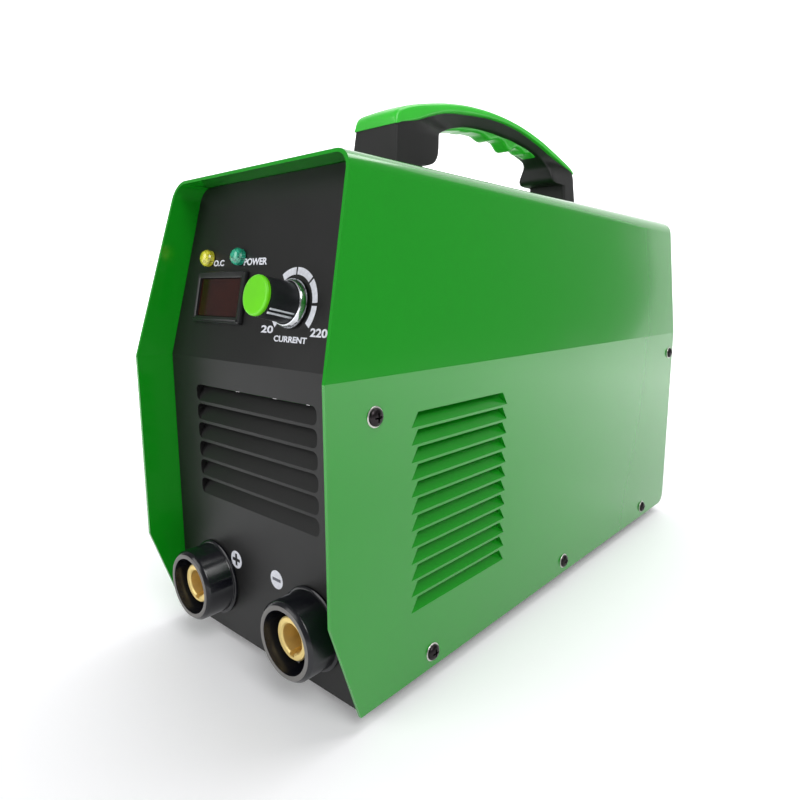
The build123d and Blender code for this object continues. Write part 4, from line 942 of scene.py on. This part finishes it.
def build_screws(sizes, colours):
    """Cross-head screws of the cover's walls, each on a bright washer."""
    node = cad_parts["cover_screws"]
    places = np.zeros(len(node.data.vertices) * 3)
    node.data.vertices.foreach_get("co", places)
    places = places.reshape(-1, 3)
    centres = []
    for side in (-1, 1):
        heads = places[side * places[:, 0] > HALF + 0.1 * MM]
        while len(heads):
            near = np.linalg.norm(heads[:, 1:] - heads[0, 1:], axis=1) < 10 * MM
            group = heads[near]
            centres.append((side, (group[:, 1].min() + group[:, 1].max()) / 2,
                            (group[:, 2].min() + group[:, 2].max()) / 2))
            heads = heads[~near]
    dark = turned_metal("screw_black", srgb(52, 48, 50), 0.3)
    bright = turned_metal("washer_zinc", srgb(206, 204, 200), 0.3)
    heads, head_faces, washers, washer_faces = [], [], [], []
    washer = np.array([(2.5, 0), (4.15, 0), (4.25, 0.15), (4.1, 0.4), (3.5, 0.5), (2.5, 0.5)])
    turn = np.linspace(0, 2 * np.pi, 48, endpoint=False)
    for side, y, z in centres:
        middle, out = np.array([side * HALF, y, z]), np.array([side * 1.0, 0, 0])
        points, faces = screw_head(middle, out)
        head_faces += [[i + sum(len(h) for h in heads) for i in f] for f in faces]
        heads.append(points)
        ring = np.stack([washer[:, :1] * np.cos(turn), washer[:, :1] * np.sin(turn),
                         np.repeat(washer[:, 1:], 48, 1)], -1).reshape(-1, 3) * MM
        across = np.array([0.0, 1.0, 0.0])
        faces = grid_faces(len(washer), 48, wrap_rows=True, wrap_columns=True).tolist()
        washer_faces += [[i + sum(len(w) for w in washers) for i in f] for f in faces]
        washers.append(place_local(ring, middle, across, np.cross(out, across), out))
    head_piece = make_mesh("cover_screw_heads", np.concatenate(heads), head_faces)
    tidy(head_piece)
    sharpen(head_piece, 40)
    finish_piece(head_piece, dark, "root", ["cover_screws"])
    ring_piece = make_mesh("cover_screw_washers", np.concatenate(washers), washer_faces)
    tidy(ring_piece)
    sharpen(ring_piece, 40)
    finish_piece(ring_piece, bright, "root")


# ------------------------------------------------------------------ stage
CAMERA_PLACE = (0.228918, -0.323859, 0.175113)
CAMERA_ANGLES = (40.694, 9.587, 0.116)     # round the object, above the horizon, and roll
CAMERA_LENS = 27.527
CAMERA_SHIFT = (-0.0211, -0.0088)
# Soft lamps: name, place, width, height and power in watts.
STUDIO_LAMPS = (("key", (1.3, -0.7, 1.5), 0.9, 0.9, 17.0),
                ("fill", (-0.5, -1.5, 0.9), 1.0, 0.8, 7.0),
                ("low", (-0.3, -1.5, 0.25), 0.9, 0.5, 3.0),
                ("top", (0.2, 0.5, 1.7), 1.2, 1.2, 15.0))


def build_stage():
    """Pale floor that curves up into a backdrop, soft lamps and the camera."""
    scene = bpy.context.scene
    scene.view_settings.view_transform = "Standard"
    world = bpy.data.worlds.new("studio")
    scene.world = world
    world.use_nodes = True
    tree = world.node_tree
    tree.nodes.clear()
    seen = tree.nodes.new("ShaderNodeLightPath")
    soft = tree.nodes.new("ShaderNodeBackground")
    soft.inputs["Color"].default_value = (1, 1, 1, 1)
    soft.inputs["Strength"].default_value = 0.22
    white = tree.nodes.new("ShaderNodeBackground")
    white.inputs["Strength"].default_value = 1.0
    white.inputs["Color"].default_value = (1, 1, 1, 1)
    choice = tree.nodes.new("ShaderNodeMixShader")
    out = tree.nodes.new("ShaderNodeOutputWorld")
    tree.links.new(seen.outputs["Is Camera Ray"], choice.inputs[0])
    tree.links.new(soft.outputs[0], choice.inputs[1])
    tree.links.new(white.outputs[0], choice.inputs[2])
    tree.links.new(choice.outputs[0], out.inputs["Surface"])

    steps = np.linspace(0, math.pi / 2, 24)
    bend = 0.6
    sweep = np.concatenate([[[-2.5, 0.0]], np.column_stack([1.4 + bend * np.sin(steps),
                                                           bend - bend * np.cos(steps)]),
                            [[1.4 + bend, 3.5]]])
    sides = np.array([-3.5, 3.5])
    away = math.radians(CAMERA_ANGLES[0])
    points = np.array([(x * math.cos(away) - y * math.sin(away),
                        x * math.sin(away) + y * math.cos(away), z)
                       for y, z in sweep for x in sides])
    floor = make_mesh("studio_floor", points, grid_faces(len(sweep), 2))
    paper = Paint("studio_paper", srgb(244, 244, 246), 0.7)
    fibre = paper.noise(90.0, 3.0)
    paper.set(Roughness=0.62 + fibre * 0.12, Emission_Strength=1.0)
    # Painted light: the paper glows faintly near the object and strongly away from it. It turns white
    # towards its edges, while the object's shadow stays beside it.
    distance = paper.node("ShaderNodeVectorMath", {"operation": "LENGTH"}, paper.place())
    far = distance.limit(0.28, 0.95)
    near_glow, far_glow = (0.12, 0.12, 0.12), (0.75, 0.75, 0.75)
    paper.set(Emission_Color=paper.mix(far, near_glow, far_glow))
    floor.data.materials.append(paper.material)

    for name, place, width, height, power in STUDIO_LAMPS:
        light = bpy.data.lights.new(name, "AREA")
        light.shape = "RECTANGLE"
        light.size = width
        light.size_y = height
        light.energy = power
        holder = bpy.data.objects.new(name, light)
        scene.collection.objects.link(holder)
        aim = Vector((0, 0, 0.13)) - Vector(place)
        holder.matrix_world = Matrix.LocRotScale(Vector(place), aim.to_track_quat("-Z", "Y"), None)

    lens = bpy.data.cameras.new("camera")
    lens.sensor_width = 36.0
    lens.lens = CAMERA_LENS
    lens.shift_x, lens.shift_y = CAMERA_SHIFT
    lens.clip_start = 0.01
    turn, tilt, roll = [math.radians(a) for a in CAMERA_ANGLES]
    back = Vector((math.sin(turn) * math.cos(tilt), -math.cos(turn) * math.cos(tilt), math.sin(tilt)))
    right = Vector((math.cos(turn), math.sin(turn), 0))
    up = back.cross(right)
    rolled_right = right * math.cos(roll) + up * math.sin(roll)
    rolled_up = up * math.cos(roll) - right * math.sin(roll)
    camera = bpy.data.objects.new("camera", lens)
    scene.collection.objects.link(camera)
    axes = Matrix((rolled_right, rolled_up, back)).transposed().to_4x4()
    camera.matrix_world = Matrix.Translation(CAMERA_PLACE) @ axes
    scene.camera = camera


# ------------------------------------------------------------------ finishes on the frame
def paint_frame(colours):
    """Every CAD node that stays in sight, and those inside, get their own finish."""
    paint_nodes(enamel_green(colours), "top_cover")
    paint_nodes(enamel_black(colours), "front_panel", "rear_panel", "base_tray")
    paint_nodes(moulded_black("fan_plastic", srgb(24, 24, 26), 0.4), "fan_frame", "fan_rotor")
    paint_nodes(moulded_black("switch_plastic", srgb(22, 22, 24), 0.3), "switch_body",
                "gland_body", "gland_cap", "gland_locknut", "lamp_holders")
    paint_nodes(tinted_plastic("rocker_plastic", srgb(30, 30, 34), 0.22), "switch_rocker")
    paint_nodes(moulded_black("foot_rubber", srgb(20, 20, 20), 0.7), "rubber_feet", "gland_seal")
    paint_nodes(turned_metal("black_screw", srgb(60, 60, 64), 0.35), "cover_screws",
                "panel_screws", "fan_screws", "foot_screws", "handle_screws")
    paint_nodes(turned_metal("zinc_plate", srgb(196, 198, 202), 0.28), "fan_guard",
                "earth_washers", "socket_washers", "potentiometer_body", "potentiometer_shaft",
                "potentiometer_nut", "fan_nuts", "board_standoffs", "board_screws")
    paint_nodes(turned_metal("stud_brass", srgb(226, 190, 110), 0.25), "earth_stud",
                "earth_nuts", "socket_nuts", "busbar_nuts")
    paint_nodes(turned_metal("copper_bar", srgb(214, 130, 90), 0.3), "positive_busbar",
                "negative_busbar", "transformer_winding")
    paint_nodes(turned_metal("sink_aluminium", srgb(196, 198, 200), 0.4), "primary_heatsink",
                "output_heatsink")
    paint_nodes(board_laminate(), "main_board", "display_board")
    paint_nodes(moulded_black("chip_epoxy", srgb(26, 26, 28), 0.4), "igbt_transistors",
                "output_diodes", "bridge_rectifier")
    paint_nodes(tinted_plastic("capacitor_sleeve", srgb(30, 36, 60), 0.3), "bulk_capacitors")
    paint_nodes(moulded_black("ferrite", srgb(50, 50, 52), 0.6), "transformer_core",
                "output_inductor")
    paint_nodes(turned_metal("brass_core", srgb(250, 222, 150), 0.25), "positive_socket_insert",
                "negative_socket_insert")
    paint_nodes(moulded_black("hidden_black", srgb(30, 30, 32), 0.4), "handle_body", "knob_body",
                "display_bezel", "positive_socket_collar", "negative_socket_collar")
    paint_nodes(tinted_plastic("hidden_green", srgb(50, 178, 52), 0.35), "handle_top_grip",
                "handle_finger_grip", "knob_cap", "power_lamp")
    paint_nodes(tinted_plastic("hidden_yellow", srgb(200, 190, 40), 0.3), "overload_lamp")
    paint_nodes(tinted_plastic("hidden_window", srgb(46, 14, 12), 0.2), "display_window")
    paint_nodes(turned_metal("hidden_chrome", srgb(222, 224, 228), 0.2), "knob_skirt")


# ------------------------------------------------------------------ operators, panel and main
class Builder:
    """What every piece operator shares: it calls its own build function with the settings."""
    bl_options = {"REGISTER", "UNDO"}
    build = None

    def execute(self, context):
        type(self).build(context.scene.welder_sizes, context.scene.welder_colours)
        return {"FINISHED"}


class WELDER_OT_finishes(Builder, bpy.types.Operator):
    """Paints the frame's own pieces"""
    bl_idname = "welder.finishes"
    bl_label = "Frame finishes"
    build = staticmethod(lambda sizes, colours: paint_frame(colours))


class WELDER_OT_handle(Builder, bpy.types.Operator):
    """Builds the carrying handle"""
    bl_idname = "welder.handle"
    bl_label = "Handle"
    build = staticmethod(build_handle)


class WELDER_OT_sockets(Builder, bpy.types.Operator):
    """Builds the two weld cable sockets"""
    bl_idname = "welder.sockets"
    bl_label = "Sockets"
    build = staticmethod(build_sockets)


class WELDER_OT_knob(Builder, bpy.types.Operator):
    """Builds the current control"""
    bl_idname = "welder.knob"
    bl_label = "Current control"
    build = staticmethod(build_knob)


class WELDER_OT_lamps(Builder, bpy.types.Operator):
    """Builds the two lamps"""
    bl_idname = "welder.lamps"
    bl_label = "Lamps"
    build = staticmethod(build_lamps)


class WELDER_OT_display(Builder, bpy.types.Operator):
    """Builds the meter"""
    bl_idname = "welder.display"
    bl_label = "Meter"
    build = staticmethod(build_display)


class WELDER_OT_signs(Builder, bpy.types.Operator):
    """Prints the signs"""
    bl_idname = "welder.signs"
    bl_label = "Printed signs"
    build = staticmethod(build_signs)


class WELDER_OT_screws(Builder, bpy.types.Operator):
    """Builds the cover's screws and washers"""
    bl_idname = "welder.screws"
    bl_label = "Cover screws"
    build = staticmethod(build_screws)


class WELDER_OT_stage(Builder, bpy.types.Operator):
    """Builds the floor, the lights and the camera"""
    bl_idname = "welder.stage"
    bl_label = "Stage"
    build = staticmethod(lambda sizes, colours: build_stage())


OPERATORS = (WELDER_OT_finishes, WELDER_OT_handle, WELDER_OT_sockets, WELDER_OT_knob,
             WELDER_OT_lamps, WELDER_OT_display, WELDER_OT_signs, WELDER_OT_screws,
             WELDER_OT_stage)


class WELDER_PT_panel(bpy.types.Panel):
    """Sizes, colours and builders in the sidebar"""
    bl_idname = "WELDER_PT_panel"
    bl_label = "Stick welding inverter"
    bl_space_type = "VIEW_3D"
    bl_region_type = "UI"
    bl_category = "Welder"

    def draw(self, context):
        for settings in (context.scene.welder_sizes, context.scene.welder_colours):
            for name in settings.__annotations__:
                self.layout.prop(settings, name)
        for operator in OPERATORS:
            self.layout.operator(operator.bl_idname)


CLASSES = (WelderSizes, WelderColours, *OPERATORS, WELDER_PT_panel)


def register():
    for kind in CLASSES:
        bpy.utils.register_class(kind)
    bpy.types.Scene.welder_sizes = bpy.props.PointerProperty(type=WelderSizes)
    bpy.types.Scene.welder_colours = bpy.props.PointerProperty(type=WelderColours)


def unregister():
    del bpy.types.Scene.welder_colours
    del bpy.types.Scene.welder_sizes
    for kind in reversed(CLASSES):
        bpy.utils.unregister_class(kind)


def main():
    register()
    for operator in OPERATORS:
        group, name = operator.bl_idname.split(".")
        getattr(getattr(bpy.ops, group), name)()


if __name__ == "__main__":
    main()
